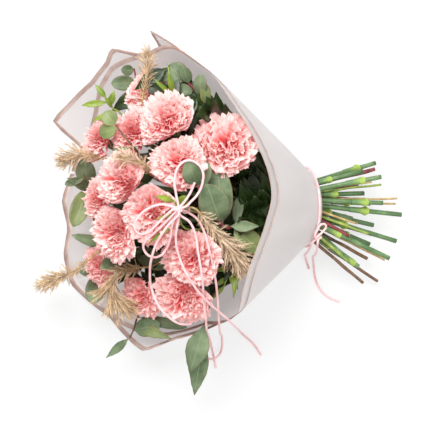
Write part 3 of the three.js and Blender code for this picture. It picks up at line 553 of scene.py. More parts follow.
# %% The sprays' routes and leaves
# Each leaf: distance from the spray's tip, place of the leaf's tip and width. A form stands only
# where it isn't the usual one, which is round for eucalyptus and narrow for ruscus.
SPRAYS = {
    "eucalyptus_1": {
        "radius": 2, "cut": -22,
        "route": [(-90, 163, 68), (-86, 146, 66), (-70, 119, 60), (-41, 88, 60)],
        "leaves": [(3, (-104, 161, 72), 12), (17, (-115, 146, 72), 17), (28, (-102, 131, 66), 12)],
    },
    "eucalyptus_2": {
        "radius": 1.8, "cut": -16,
        "route": [
            (-107, 97, 128), (-100, 88, 134), (-90, 76, 136), (-83, 68, 128), (-79, 64, 106),
            (-52, 50, 84),
        ],
        "leaves": [
            (1, (-119, 111, 128), 18), (5, (-125, 88, 120), 17), (34, (-111, 70, 132), 4, "narrow"),
        ],
    },
    "eucalyptus_3": {
        "radius": 2.2, "cut": -5,
        "route": [(-46, 160, 112), (-30, 145, 108), (-13, 124, 104), (-1, 106, 96)],
        "leaves": [
            (22, (-51, 162, 112), 24), (25, (-35, 161, 118), 13), (34, (-47, 131, 104), 20),
            (7, (-63, 148, 110), 13), (44, (-16, 153, 116), 15), (56, (-11, 143, 112), 12),
            (62, (-34, 121, 100), 16),
        ],
    },
    "eucalyptus_4": {
        "radius": 2, "cut": -6,
        "route": [(-145, 43, 76), (-141, 32, 56), (-128, 12, 48), (-101, 4, 48), (-39, 4, 52)],
        "leaves": [
            (20, (-144, 63, 88), 22), (28, (-164, 41, 76), 11, "long"), (24, (-157, -13, 74), 22),
            (40, (-123, -23, 92), 16), (5, (-167, 34, 66), 9),
        ],
    },
    "eucalyptus_5": {
        "radius": 2, "cut": -12,
        "route": [(-131, -68, 44), (-115, -53, 44), (-92, -40, 46), (-56, -28, 50)],
        "leaves": [
            (4, (-138, -99, 58), 23), (1, (-152, -63, 56), 9), (44, (-125, -58, 110), 22),
            (52, (-53, -58, 96), 22), (46, (-158, -22, 84), 14),
        ],
    },
    "eucalyptus_6": {
        "radius": 1.8, "cut": 0,
        "route": [(-95, -137, 60), (-90, -126, 63), (-86, -113, 58), (-67, -95, 52), (-17, -48, 56)],
        "leaves": [
            (9, (-61, -120, 72), 21), (1, (-122, -160, 52), 10, "long"),
            (16, (-48, -137, 76), 13, "long"), (26, (-31, -125, 66), 12),
        ],
    },
    "eucalyptus_7": {
        "radius": 2.2, "cut": -36,
        "route": [(-20, 35, 160), (-12, 16, 154), (10, -13, 134), (31, -10, 104)],
        "leaves": [
            (4, (-29, 57, 181), 22), (10, (-10, 58, 158), 18), (56, (-9, 33, 166), 33),
            (60, (3, 51, 144), 27), (72, (48, -12, 130), 13, "long"), (78, (50, -40, 118), 24),
            (84, (27, 20, 104), 12),
        ],
    },
    "eucalyptus_8": {
        "radius": 1.8, "cut": -18,
        "route": [(-12, -130, 98), (-10, -112, 108), (-4, -93, 104), (11, -60, 92)],
        "leaves": [(16, (-28, -175, 82), 26, "long"), (1, (-23, -201, 60), 21, "long")],
    },
    "ruscus_1": {
        "radius": 1.4, "cut": -34,
        "route": [(-119, 128, 98), (-115, 119, 98), (-105, 113, 94), (-94, 101, 84), (-61, 76, 74)],
        "leaves": [
            (5, (-146, 120, 96), 8), (1, (-131, 143, 98), 7), (10, (-110, 136, 102), 8),
            (20, (-135, 103, 94), 7), (14, (-121, 130, 104), 5),
        ],
    },
    "ruscus_2": {
        "radius": 1.3, "cut": 2,
        "route": [(-52, 165, 116), (-48, 146, 118), (-44, 127, 114), (-35, 108, 98), (0, 70, 84)],
        "leaves": [
            (36, (-51, 154, 124), 7), (40, (-67, 148, 120), 5), (46, (-71, 140, 116), 9),
            (6, (-60, 157, 116), 3),
        ],
    },
    "ruscus_3": {
        "radius": 1.4, "cut": -36,
        "route": [(7, -84, 112), (15, -64, 112), (25, -45, 100)],
        "leaves": [
            (18, (0, -77, 116), 6), (22, (25, -81, 116), 7), (8, (-2, -91, 112), 5),
            (30, (-2, -60, 112), 6), (44, (20, -89, 122), 9, "long"),
        ],
    },
    "ruscus_4": {
        "radius": 1.4, "cut": -13,
        "route": [(-43, 16, 176), (-37, -4, 170), (-34, -12, 160), (-24, -16, 140), (0, -14, 112)],
        "leaves": [
            (1, (-62, 20, 184), 7), (14, (-63, -5, 180), 4), (22, (-71, -31, 174), 5),
            (10, (-29, 20, 184), 12, "round"),
        ],
    },
}

# %% The plumes' routes
# Of each plume: how long its head is on the culm, its longest branch against one of 20 mm, and
# its number of branches.
PLUMES = {
    "plume_1": {
        "head": 62, "longest": 0.6, "branches": 100, "cut": -8,
        "route": [
            (-74, 179, 112), (-73, 162, 117), (-74, 146, 120), (-78, 130, 122), (-76, 113, 120),
            (-66, 97, 104), (-45, 72, 84),
        ],
    },
    "plume_2": {
        "head": 52, "longest": 0.75, "branches": 100, "cut": 20,
        "route": [
            (-169, 59, 86), (-148, 66, 96), (-130, 63, 106), (-116, 60, 100), (-100, 54, 76),
            (-50, 33, 68),
        ],
    },
    "plume_3": {
        "head": 48, "longest": 0.6, "branches": 100, "cut": 20,
        "route": [
            (-103, 61, 166), (-88, 60, 168), (-76, 54, 164), (-69, 43, 148), (-60, 40, 120),
            (-27, 32, 98),
        ],
    },
    "plume_4": {
        "head": 80, "longest": 0.66, "branches": 160, "cut": -14,
        "route": [
            (-198, -80, 50), (-172, -69, 68), (-153, -61, 84), (-134, -45, 99), (-117, -33, 96),
            (-94, -24, 74), (-39, -10, 64),
        ],
    },
    "plume_5": {
        "head": 84, "longest": 1.0, "branches": 130, "cut": 6,
        "route": [
            (-92, -105, 92), (-108, -96, 98), (-116, -79, 102), (-106, -63, 104), (-87, -58, 104),
            (-69, -56, 92), (-39, -42, 78),
        ],
    },
    "plume_6": {
        "head": 97.28, "longest": 0.9, "branches": 170, "cut": -26,
        "route": [
            (31, -62, 122), (23, -46, 134), (11, -29, 146), (-4, -14, 160), (-15, 1, 172),
            (-24, 8, 178), (-30, 7, 175), (-31, 6, 163), (-26, 4, 140), (-5, 0, 110),
        ],
    },
}
print(len(BLOOMS), "blooms,", len(SPRAYS), "sprays,", len(PLUMES), "plumes")

# %% How stems push each other apart
# The waist is this much wider than high. A stem's first place in it is its slope above it, times
# 22 mm, and each round pulls it towards the middle by the share given here.
WAIST_ASPECT = 1.4
WAIST_START = 22
WAIST_PULL = 0.012
STEM_GAP = 1.4
ROUNDS = 600
GATHERING_ROUNDS = 500


def spread(spots, pull):
    """Pushes round spots apart until none touch, and gathers them meanwhile."""
    for step in range(ROUNDS):
        gather = pull if step < GATHERING_ROUNDS else 0
        for spot in spots:
            spot["side"] *= 1 - gather / WAIST_ASPECT ** 2
            spot["up"] *= 1 - gather
        for i, a in enumerate(spots):
            for b in spots[i + 1:]:
                side, up = b["side"] - a["side"], b["up"] - a["up"]
                apart = math.hypot(side, up)
                short = a["radius"] + b["radius"] + STEM_GAP - apart
                if short > 0:
                    push = short / 2 / apart
                    a["side"] -= side * push
                    a["up"] -= up * push
                    b["side"] += side * push
                    b["up"] += up * push


def facing(bloom):
    """Direction that a head looks in, and the middle of its underside."""
    middle = Vector(bloom[0])
    direction = (middle - LOOK_FROM).normalized()
    return direction, middle - direction * (HEAD_DEPTH * bloom[1])


def stem_in_bundle(name, radius, aim, cut):
    """What the rule knows of a stem: where it is pulled to, and its first place at the waist."""
    reach, side, up = from_axis(aim)
    slope = WAIST_START / (reach - WAIST_REACH)
    waist = {"radius": radius, "side": side * slope, "up": up * slope}
    return {"name": name, "radius": radius, "cut": cut, "reach": reach, "pull": (side, up),
            "waist": waist, "sections": []}


# %% Sort the stems at the waist and above it
# A stem passes a section if it runs on for 12 mm or more behind it.
SECTIONS = [112, 130, 155]
SECTION_MARGIN = 12

members = []
for number, bloom in enumerate(BLOOMS, 1):
    direction, base = facing(bloom)
    aim = base - direction * (CALYX_HEIGHT + 4)
    members.append(stem_in_bundle(f"carnation_stem_{number}", STEM_RADIUS, aim, bloom[3]))
for name, spray in SPRAYS.items():
    aim = Vector(spray["route"][-1])
    members.append(stem_in_bundle(name, spray["radius"], aim, spray["cut"]))
for name, plume in PLUMES.items():
    aim = Vector(plume["route"][-1])
    members.append(stem_in_bundle(name, CULM_RADIUS, aim, plume["cut"]))
spread([member["waist"] for member in members], WAIST_PULL)

for reach in SECTIONS:
    passing = [member for member in members if member["reach"] > reach + SECTION_MARGIN]
    spots = []
    for member in passing:
        share = (reach - WAIST_REACH) / (member["reach"] - WAIST_REACH)
        side, up = member["pull"]
        spots.append({"radius": member["radius"], "reach": reach,
                      "side": member["waist"]["side"] * (1 - share) + side * share,
                      "up": member["waist"]["up"] * (1 - share) + up * share})
    spread(spots, 0)
    for member, spot in zip(passing, spots):
        member["sections"].insert(0, spot)
print("stems in the bundle:", len(members))

# %% The lower part of each stem
END_CENTRE = Vector((186, -8, 28.4))
# How much wider than at the waist the bundle is at its neck and its end, to the side and up.
NECK_SPREAD = (1.5, 1.15)
END_SPREAD = (4.2, 2)


def lower_route(member):
    """Sections, waist, neck and cut end of a stem, in millimetres."""
    side, up = member["waist"]["side"], member["waist"]["up"]
    neck_x = at(TIE_REACH).x
    end = END_CENTRE + Vector((member["cut"], 0, 0))
    share = (end.x - neck_x) / (END_CENTRE.x - neck_x)
    end.y += side * (NECK_SPREAD[0] + (END_SPREAD[0] - NECK_SPREAD[0]) * share)
    end.z += up * (NECK_SPREAD[1] + (END_SPREAD[1] - NECK_SPREAD[1]) * share)
    above = [at(spot["reach"], spot["side"], spot["up"]) for spot in member["sections"]]
    neck = at(TIE_REACH, side * NECK_SPREAD[0], up * NECK_SPREAD[1])
    return [*above, at(WAIST_REACH, side, up), neck, end]


lower = {member["name"]: lower_route(member) for member in members}
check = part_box("carnation_stem_5")[1].x - here(lower["carnation_stem_5"][-1]).x
print("longest stem ends within", round(abs(check) * 1000, 2), "mm of its solid")

# %% [markdown]
# ## Carnation stems
#
# A carnation stem is smooth and blue-green, with a waxy bloom on it. It is swollen at its
# joints, where a pair of pale leaf sheaths was stripped off. The stem is a curve whose points
# each have their own thickness. It becomes a mesh so that its cut end can be worked on: the end
# face is slanted, inset and pushed in a little, because the pith dries below the rind.

# %% Finishes of the stem
# The wax lies in clouds of about 17 mm, and stands up by a tenth of a millimetre at most.
stem_finish = patched_material(
    "Waxy carnation stem", 60, 4, [(0.3, "435f38"), (0.55, "5f7d50"), (0.75, "8aa37a")],
    rough=0.6, relief=(0.2, 0.0005), Roughness=0.42, IOR=1.45)

# Yellow-green at the joint, and the colour of the stem at the far end of the sheath, in streaks
# of about 5 mm.
sheath_finish = patched_material(
    "Pale leaf sheath", 220, 3,
    [(0.1, "7a9a36"), (0.25, "b0c858"), (0.5, "96b04e"), (0.95, "5f8050")],
    patchy=0.25, along=1, Roughness=0.45, IOR=1.45)

pith_finish = new_material("Cut pith", Roughness=0.8)
where = add_node(pith_finish, "TexCoord", {})
# Cells of a little over half a millimetre, far coarser than the real ones, so that they show.
cells = add_node(pith_finish, "TexVoronoi", {
    "Vector": where.outputs["Object"], "Scale": 1800,
})
add_node(pith_finish, "ValToRGB", {"Fac": cells}, "Base Color", [
    (0.0, "e6edc0"), (0.8, "b9cf86"),
])


# %% A stem as a rod of changing thickness
def rod(places, sides=3, steps=4):
    """A round rod through (place, radius) pairs in millimetres, as a mesh with closed ends."""
    curve = smooth_curve([place for place, radius in places], steps)
    for point, (place, radius) in zip(curve.data.splines[0].bezier_points, places):
        point.radius = radius
    # The bevel is 1 mm, times the radius of each point.
    curve.data.bevel_depth = 0.001
    curve.data.bevel_resolution = sides
    piece = as_mesh(curve)
    bpy.ops.object.mode_set(mode="EDIT")
    bpy.ops.mesh.select_all(action="SELECT")
    bpy.ops.mesh.remove_doubles(threshold=1e-6)
    bpy.ops.mesh.normals_make_consistent(inside=False)
    bpy.ops.object.mode_set(mode="OBJECT")
    bpy.ops.object.shade_smooth()
    return piece


def cut_end(piece, rind, end, radius):
    """Puts a rod in its rind's finish, slants its cut end, and insets and sinks the pith there."""
    piece.data.materials.append(rind)
    piece.data.materials.append(pith_finish)
    bpy.ops.object.mode_set(mode="EDIT")
    bpy.ops.mesh.select_mode(type="FACE")
    bpy.ops.mesh.select_all(action="DESELECT")
    bpy.ops.object.mode_set(mode="OBJECT")
    # The cap is the face with many corners at the end's place.
    cap = max(piece.data.polygons, key=lambda face: len(face.vertices)
              - 1000 * (face.center - here(end)).length)
    cap.select = True
    middle = cap.center.copy()
    for i in cap.vertices:
        vertex = piece.data.vertices[i]
        vertex.co.x -= 0.5 * (vertex.co.z - middle.z)
    bpy.ops.object.mode_set(mode="EDIT")
    bpy.ops.mesh.inset(thickness=radius * 0.00015)
    piece.active_material_index = 1
    bpy.ops.object.material_slot_assign()
    bpy.ops.mesh.extrude_region_move(TRANSFORM_OT_translate={"value": (-0.0004, 0, 0)})
    bpy.ops.object.mode_set(mode="OBJECT")


# %% [markdown]
# ### The joint and the calyx
#
# At a joint the stem swells to a knuckle, and the sheath of a stripped pair of leaves hugs the
# stem for 20 mm above it. Both are one tube: a grid that is rolled round the stem, wide at the
# knuckle and tight at the far end of the sheath, with a torn edge at the cut side. The calyx is
# the green cup that holds the petals, a tube that swells in the middle, with five teeth.

# %% Grids that stand on a stem
def grid_piece(columns, rows, shape):
    """A grid whose points are moved to shape(u, v). Its UV map keeps u across and v along."""
    select()
    bpy.ops.mesh.primitive_grid_add(x_subdivisions=columns, y_subdivisions=rows, size=2,
                                    location=(0, 0, 0), calc_uvs=True)
    piece = bpy.context.object
    for vertex in piece.data.vertices:
        vertex.co = shape(vertex.co.x, (vertex.co.y + 1) / 2)
    piece.data.update()
    return piece


def stand(piece, place, direction):
    """Turns a piece that was made along +Z to a direction and moves it to its place, in its mesh."""
    turn = Vector((0, 0, 1)).rotation_difference(direction).to_matrix().to_4x4()
    piece.data.transform(Matrix.Translation(here(place)) @ turn)
    piece.data.update()


# %% A joint
def joint_of(place, direction, seed):
    """The swollen joint of a carnation stem with its sheath, which runs up the stem."""
    draw = random.Random(seed)
    lean, ridge = draw.uniform(0, 6.3), draw.uniform(0.1, 0.22)
    reach = draw.uniform(16, 24)

    def shape(u, v):
        turn = math.pi * u
        along = reach * v ** 1.6 - 4
        knuckle = 0.5 * math.exp(-((along - 0.5) / 2.8) ** 2)
        neck = 0.12 + 0.1 * smoothstep(along, 16, 3) if along > 3 else 0.12
        end = smoothstep(v, 0, 0.12)
        wide = STEM_RADIUS * (0.55 + 0.47 * end + neck * end + knuckle)
        wide *= 1 + ridge * math.exp(-((along - 1) / 3) ** 2) * math.cos(2 * turn + lean)
        return Vector((wide * math.cos(turn), wide * math.sin(turn), along)) / 1000

    joint = grid_piece(14, 12, shape)
    joint.data.materials.append(sheath_finish)
    bpy.ops.object.shade_smooth()
    stand(joint, place, direction)
    return joint


# %% A calyx
def calyx_of(place, direction):
    """The green cup under a head, round the end of its stem: a swollen tube with five teeth."""
    height = CALYX_HEIGHT / 1000
    select()
    bpy.ops.mesh.primitive_cone_add(vertices=20, radius1=0.0034, radius2=0.0062, depth=height,
                                    end_fill_type="NOTHING", location=(0, 0, -height / 2))
    cup = bpy.context.object
    cup.data.materials.append(stem_finish)
    bpy.ops.object.mode_set(mode="EDIT")
    bpy.ops.mesh.subdivide(number_cuts=3)
    bpy.ops.object.mode_set(mode="OBJECT")
    for vertex in cup.data.vertices:
        # How far down the cup from its middle, against its height.
        down = -vertex.co.z / height
        swell = 1 + 0.45 * math.sin(math.pi * down)
        tooth = 0.0028 * abs(math.sin(2.5 * math.atan2(vertex.co.y, vertex.co.x)))
        vertex.co.x *= swell
        vertex.co.y *= swell
        vertex.co.z += tooth * smoothstep(1 - down, 0.8, 1)
    bpy.ops.object.shade_smooth()
    stand(cup, place, direction)
    return cup


# %% All the carnation stems
for number, bloom in enumerate(BLOOMS, 1):
    name = f"carnation_stem_{number}"
    direction, base = facing(bloom)
    neck, end = lower[name][-2:]
    rise = (neck - end).normalized()
    joint = end + rise * bloom[4]
    # Out of the calyx, through the bundle, past the joint and to the cut end.
    route = [(base - direction * 12, 2.2), (base - direction * (CALYX_HEIGHT + 2), STEM_RADIUS)]
    route += [(place, STEM_RADIUS) for place in lower[name][:-1]]
    route += [(joint + rise * 8, STEM_RADIUS), (joint - rise * 4, STEM_RADIUS * 0.95),
              (end, STEM_RADIUS * 0.93)]
    stem = rod(route)
    cut_end(stem, stem_finish, end, STEM_RADIUS)
    stem = join_pieces([stem, joint_of(joint, rise, number), calyx_of(base, direction)])
    hand_over(stem, f"stem_of_carnation_{number}", name)
print("carnation stems:", len(BLOOMS), "with", len(stem.data.polygons), "faces each")

# %% [markdown]
# ## Carnation heads
#
# A full carnation has dozens of petals. Each one is a fan on a narrow claw, and its outer
# edge is waved and pinked, as if cut with serrated scissors. All the claws stand in the calyx.
# The inner petals stand up and crowd each other, the outer ones lean out and fold back into a
# skirt. The pale edges catch the light, and the light that goes down between the petals comes
# back coral. The finish paints both in: it is painted deeper towards the claw as painted shade,
# and nearly white at the edge, partly the petal's own pale edge and partly painted highlight.
# A painted coral glow stands for the light that comes through the petals.
#
# One petal is a grid that is bent by a formula, because a ruffle is a wave along the edge that
# dies out towards the claw. Each petal draws its own waves, and they are set round the head by
# the golden angle, which is how the plant itself spaces them. Three heads are made like this, and
# each flower is a copy of one of them.

# %% The petal's finish
# Coral at the claw as painted shade, and nearly white at the edge, partly as painted highlight,
# in blotches of about 17 mm.
petal_finish = patched_material(
    "Carnation petal", 60, 3,
    [(0.3, "de434e"), (0.52, "f07a7c"), (0.71, "f6a6a3"), (0.89, "f7d3ce")],
    patchy=0.3, along=0.75, Roughness=0.7, IOR=1.4, Sheen_Weight=0.25, Sheen_Roughness=0.6,
    Subsurface_Weight=0.2, Subsurface_Radius=(0.004, 0.0018, 0.0014), Subsurface_Scale=0.6,
    # A painted coral glow stands for the light that comes through the petals from behind and lights
    # the gaps between them.
    Emission_Color=colour("f0444f"), Emission_Strength=0.085)
spot = add_node(petal_finish, "UVMap", {}, uv_map="UVMap")
# Fine veins run from the claw to the edge.
veins = add_node(petal_finish, "TexWave", {
    "Vector": spot, "Scale": 9, "Distortion": 1.5, "Detail": 2,
}, wave_type="BANDS", bands_direction="X")
add_node(petal_finish, "Bump", {
    "Height": veins.outputs["Fac"], "Strength": 0.2, "Distance": 0.0003,
}, "Normal")

# %% One petal
CLAW = 0.42
PETAL_COLUMNS = 44


def petal(lean, curl, seed):
    """A petal of a head of radius 1 that leaves the claw at an angle and curls outwards."""
    draw = random.Random(seed)
    length = 1.2 * draw.uniform(0.84, 1.04)
    outer = smoothstep(curl, 0.5, 1.4)
    fan = math.radians(draw.uniform(38, 54) + 16 * outer)
    waves = draw.uniform(2.6, 4.0) * math.pi
    phase = draw.uniform(0, 6)
    depth = draw.uniform(0.1, 0.145) * (1 - 0.25 * outer)
    twist = draw.uniform(-0.4, 0.4)
    roll = math.radians(draw.uniform(0, 50)) * (1 - 0.6 * outer)

    def shape(u, v):
        v = v ** 0.8
        turn = u * fan
        edge = smoothstep(v, 0.86, 1)
        pinked = 0.02 * (1 if round(u * PETAL_COLUMNS / 2) % 2 else -1) * edge
        pinked += 0.035 * abs(math.sin(5 * u + phase)) * edge
        blade = max(0.0, v - CLAW) * length + pinked
        reach = min(v, CLAW) * length + blade * math.cos(turn)
        side = 0.07 * u * min(v, CLAW) / CLAW + blade * math.sin(turn)
        bend = lean + curl * v ** 2 + roll * v ** 6
        mean = lean + curl * v ** 2 / 3 + roll * v ** 6 / 7
        ruffle = depth * smoothstep(v, CLAW, 1.05) * math.sin(waves * u + phase)
        ruffle += 0.4 * depth * v ** 6 * math.sin(2.3 * waves * u + 2 * phase)
        ruffle += 0.028 * edge * math.sin(6.1 * waves * u + 3 * phase)
        outward = ruffle + side * math.sin(twist) * v
        side *= math.cos(twist * v)
        return Vector((
            side,
            reach * math.sin(mean) + outward * math.cos(bend) + 0.05,
            reach * math.cos(mean) - outward * math.sin(bend),
        ))

    return grid_piece(PETAL_COLUMNS, 8, shape)


# %% One head of many petals
# The golden angle.
PETAL_TURN = math.radians(137.5)


def head_master(count, seed):
    """A head of radius 1 with its claws at the origin, facing +Z."""
    draw = random.Random(seed)
    petals = []
    for i in range(count):
        share = (i + 0.5) / count
        lean = math.radians(3 + 67 * share ** 0.7)
        curl = math.radians(15 + 75 * share ** 2)
        made = petal(lean - curl / 3, curl, seed * 100 + i)
        turn = i * PETAL_TURN + draw.uniform(-0.25, 0.25)
        made.data.transform(Matrix.Rotation(turn, 4, "Z"))
        petals.append(made)
    head = join_pieces(petals)
    bpy.ops.object.shade_smooth()
    return head


masters = [head_master(76, 1), head_master(72, 2), head_master(72, 3)]
print("faces of a head:", [len(master.data.polygons) for master in masters])

# %% [markdown]
# ### The heads in the bunch
#
# Crowded heads press each other flat where they meet. Each copy is scaled to its own size, stood
# on its stem and pushed back from every neighbour, to the plane where the two meet.

# %% Place the heads
# The petals start to give way this far from the plane.
PRESS_BAND = 10.0


def press(head, bloom):
    """Pushes a head's points back from its neighbours."""
    middle = Vector(bloom[0])
    for other in BLOOMS:
        across = Vector(other[0]) - middle
        apart = across.length
        if other is bloom or apart > bloom[1] + other[1] + 4:
            continue
        across.normalize()
        limit = apart * bloom[1] / (bloom[1] + other[1]) - 0.2
        for vertex in head.data.vertices:
            past = (back_in_mm(vertex) - middle).dot(across) - (limit - PRESS_BAND)
            if past > 0:
                kept = PRESS_BAND * (1 - math.exp(-past / PRESS_BAND))
                vertex.co += across * ((kept - past) / 1000)


draw = random.Random(7)
heads = []
for number, bloom in enumerate(BLOOMS, 1):
    head = copy_of(masters[2] if bloom[2] == 3 else masters[number % 2])
    direction, base = facing(bloom)
    turn = Matrix.Rotation(draw.uniform(0, 6.28), 4, "Z")
    head.data.transform(Matrix.Scale(bloom[1] / 1000, 4) @ turn)
    stand(head, base, direction)
    press(head, bloom)
    hand_over(head, f"head_of_carnation_{number}", f"carnation_{number}", [petal_finish])
    heads.append(head)
for master in masters:
    bpy.data.objects.remove(master, do_unlink=True)
print("heads:", len(heads))

# %% [markdown]
# ## Leaves
#
# Eucalyptus leaves are round or egg-shaped on a short stalk, grey-green with a waxy bloom, and
# many have a thin reddish edge. Ruscus leaves are narrow, pointed and bright green. Both are
# grids again, so that their UV map runs across and along the blade, where the finish draws the
# rib and the veins. A Solidify modifier gives the blade its real thickness of 0.4 mm.

# %% Finishes of the leaves
def leaf_material(name, dark, light, rib, edge, gloss):
    """A leaf with a pale rib, side veins, a coloured edge and blotches of wax."""
    material = new_material(name, Roughness=gloss, IOR=1.45)
    spot = add_node(material, "UVMap", {}, uv_map="UVMap")
    parts = add_node(material, "SeparateXYZ", {"Vector": spot})
    centred = add_node(material, "Math", {
        0: parts.outputs["X"], 1: 0.5,
    }, operation="SUBTRACT")
    from_rib = add_node(material, "Math", {0: centred}, operation="ABSOLUTE")
    # Side veins leave the rib every 2 mm or so and run out towards the tip.
    slant = add_node(material, "Math", {
        0: from_rib, 1: -0.9, 2: parts.outputs["Y"],
    }, operation="MULTIPLY_ADD")
    waves = add_node(material, "Math", {0: slant, 1: 70}, operation="MULTIPLY")
    veins = add_node(material, "Math", {0: waves}, operation="SINE")
    # Blotches of wax of about 22 mm.
    where = add_node(material, "TexCoord", {})
    wax = add_node(material, "TexNoise", {
        "Vector": where.outputs["Object"], "Scale": 45, "Detail": 4, "Roughness": 0.6,
    })
    blade = add_node(material, "ValToRGB", {"Fac": wax}, stops=[
        (0.32, dark), (0.68, light),
    ])
    tint = blade.outputs["Color"]
    # Each drawing starts and ends at a value, between two strengths, in a colour of its own.
    drawings = [(veins, 0.8, 1, 0, 0.16, rib), (from_rib, 0.008, 0.024, 0.5, 0, rib),
                (from_rib, 0.465, 0.495, 0, 0.85, edge)]
    amounts = []
    for value, start, end, weak, strong, code in drawings:
        amount = add_node(material, "MapRange", {
            "Value": value, "From Min": start, "From Max": end, "To Min": weak, "To Max": strong,
        })
        amounts.append(amount)
        layer = add_node(material, "Mix", {
            0: amount, 6: tint, 7: colour(code),
        }, data_type="RGBA")
        tint = layer.outputs[2]
    add_node(material, "Bump", {
        "Height": amounts[0], "Strength": 0.3, "Distance": 0.0004,
    }, "Normal")
    shader = material.node_tree.nodes["Principled BSDF"]
    material.node_tree.links.new(tint, shader.inputs["Base Color"])
    return material


def twig_material(name, dark, light):
    """Bark with streaks and small scars of about 8 mm."""
    return patched_material(name, 120, 4, [(0.3, dark), (0.7, light)], Roughness=0.6)


eucalyptus_finish = leaf_material("Waxy eucalyptus leaf", "4c6040", "7f906d", "9aa67f", "7f563e",
                                  0.55)
olive_finish = leaf_material("Olive eucalyptus leaf", "5c6b3e", "84925a", "a9b074", "96684a", 0.5)
ruscus_finish = leaf_material("Ruscus leaf", "57741c", "8fa036", "b5c266", "6d8128", 0.4)
# The nearly black ruscus leaves are painted shade, for the dark room deep in the bunch.
painted_shade_leaf_finish = leaf_material("Dark ruscus leaf", "1c2b14", "34491f", "5a6d3a", "263819", 0.35)
red_twig = twig_material("Red eucalyptus twig", "5a1f22", "93474a")
brown_twig = twig_material("Brown eucalyptus twig", "4b3226", "8a6a4c")
green_twig = twig_material("Green ruscus twig", "6f8a3a", "a9b65a")

# %% A leaf blade
LEAF_THICKNESS = 0.0004
# Half widths along each form, from the stalk to the tip, against the widest place.
LEAF_FORMS = {
    "round": [(0, 0.06), (0.1, 0.06), (0.14, 0.36), (0.22, 0.68), (0.35, 0.92), (0.5, 1.0),
              (0.65, 0.98), (0.8, 0.83), (0.9, 0.6), (0.97, 0.33), (1, 0.06)],
    "long": [(0, 0.08), (0.1, 0.1), (0.22, 0.62), (0.38, 0.98), (0.55, 0.94), (0.75, 0.6),
             (0.9, 0.25), (1, 0.03)],
    "narrow": [(0, 0.12), (0.08, 0.2), (0.3, 0.85), (0.5, 1.0), (0.72, 0.75), (0.9, 0.3), (1, 0.04)],
}


def leaf_width(form, v):
    """Smooth reading of a form's table."""
    table = LEAF_FORMS[form]
    k = next((i for i in range(1, len(table)) if table[i][0] >= v), len(table) - 1)
    (x0, y0), (x1, y1) = table[k - 1], table[k]
    t = smoothstep(v, x0, x1) * 0.5 + 0.5 * (v - x0) / (x1 - x0)
    return y0 + (y1 - y0) * t


def leaf_blade(root, tip, width, form, finish, seed):
    """A blade from its root on the stem to its tip, arched and cupped, in millimetres."""
    draw = random.Random(seed)
    run = tip - root
    length = run.length
    run.normalize()
    face = Vector((0, 0, 1)) - run * run.z
    face.normalize()
    across = run.cross(face)
    wave, phase = draw.uniform(0.01, 0.03) * length, draw.uniform(0, 6)

    # An arch of 8 % of the length, cupped across, with a wave along both edges.
    def shape(u, v):
        half = leaf_width(form, v) * width / 2
        rise = 0.08 * length * 4 * v * (1 - v) + 0.14 * half * u * u
        rise += wave * math.sin(5 * v + phase) * abs(u) * smoothstep(v, 0.15, 0.4)
        return here(root + run * (v * length) + across * (u * half) + face * rise)

    blade = grid_piece(8, 14, shape)
    blade.data.materials.append(finish)
    bpy.ops.object.shade_smooth()
    thicken(blade, LEAF_THICKNESS)
    return blade


# %% A spray's stem
def length_of(points):
    """Length of a line of points."""
    return sum((b - a).length for a, b in zip(points, points[1:]))


def along_path(points, distance):
    """The point at a distance along a line of points, and the direction there."""
    for a, b in zip(points, points[1:]):
        span = (b - a).length
        if distance <= span:
            return a + (b - a) * (distance / span), (b - a).normalized()
        distance -= span
    return points[-1], (points[-1] - points[-2]).normalized()


def spray_stem(points, radius, rind):
    """A woody stem, thin at its tip, with a knot every 14 mm or so near its cut end."""
    draw = random.Random(len(points))
    knots_start = length_of(points) - 130
    reached, places = 0, []
    for i, point in enumerate(points):
        if i:
            before = points[i - 1]
            span = (point - before).length
            count = int(span / 14)
            for k in range(1, count):
                share = (k + draw.uniform(-0.2, 0.2)) / count
                bend = Vector((0, draw.uniform(-0.5, 0.5), draw.uniform(-0.5, 0.5)))
                distance = reached + span * share
                knot = 1.0 if distance < knots_start else draw.uniform(0.85, 1.25)
                thick = knot * radius * min(1, 0.45 + distance / 160)
                places.append((before.lerp(point, share) + bend, thick))
            reached += span
        places.append((point, radius * min(1, 0.45 + reached / 160)))
    stem = rod(places, sides=2, steps=3)
    cut_end(stem, rind, points[-1], radius)
    return stem


# %% Leaves deep in the bunch, nearly black as painted shade
ATTEMPTS = 1500
SHORTEST_LEAF = 24
LONGEST_LEAF = 56


def inside(point, margin):
    """True for a place inside the cone of film, and not inside a flower head."""
    reach, side, up = from_axis(point)
    wide, high = half_size(reach)
    in_cone = (up / (high * margin)) ** 2 + (side / (wide * margin)) ** 2 < 1
    free = all((point - Vector(bloom[0])).length > bloom[1] * 0.85 for bloom in BLOOMS)
    return in_cone and free and point.z > 12


def deep_leaves(points, seed, count, turns, reaches, out, top=200):
    """Leaves low on a spray, nearly black as painted shade, which fill the room between the stems
    and under the film.
    """
    draw = random.Random(seed)
    total = length_of(points)
    blades = []
    for attempt in range(ATTEMPTS):
        root, down = along_path(points, draw.uniform(0, total))
        reach = from_axis(root)[0]
        ahead = reach + draw.uniform(14, 36)
        turn, share = math.radians(draw.uniform(*turns)), draw.uniform(*out)
        tip = at(ahead, SIDE_SLOPE * ahead * share * math.sin(turn),
                 UP_SLOPE * ahead * share * math.cos(turn))
        run = (tip - root).length
        fits = reaches[0] < reach < reaches[1] and SHORTEST_LEAF < run < LONGEST_LEAF
        if fits and tip.z < top and inside(root, 0.95) and inside(tip, 0.94):
            width = run * draw.uniform(0.38, 0.52)
            blades.append(leaf_blade(root, tip, width, "long", painted_shade_leaf_finish, seed + attempt))
        if len(blades) == count:
            break
    return blades
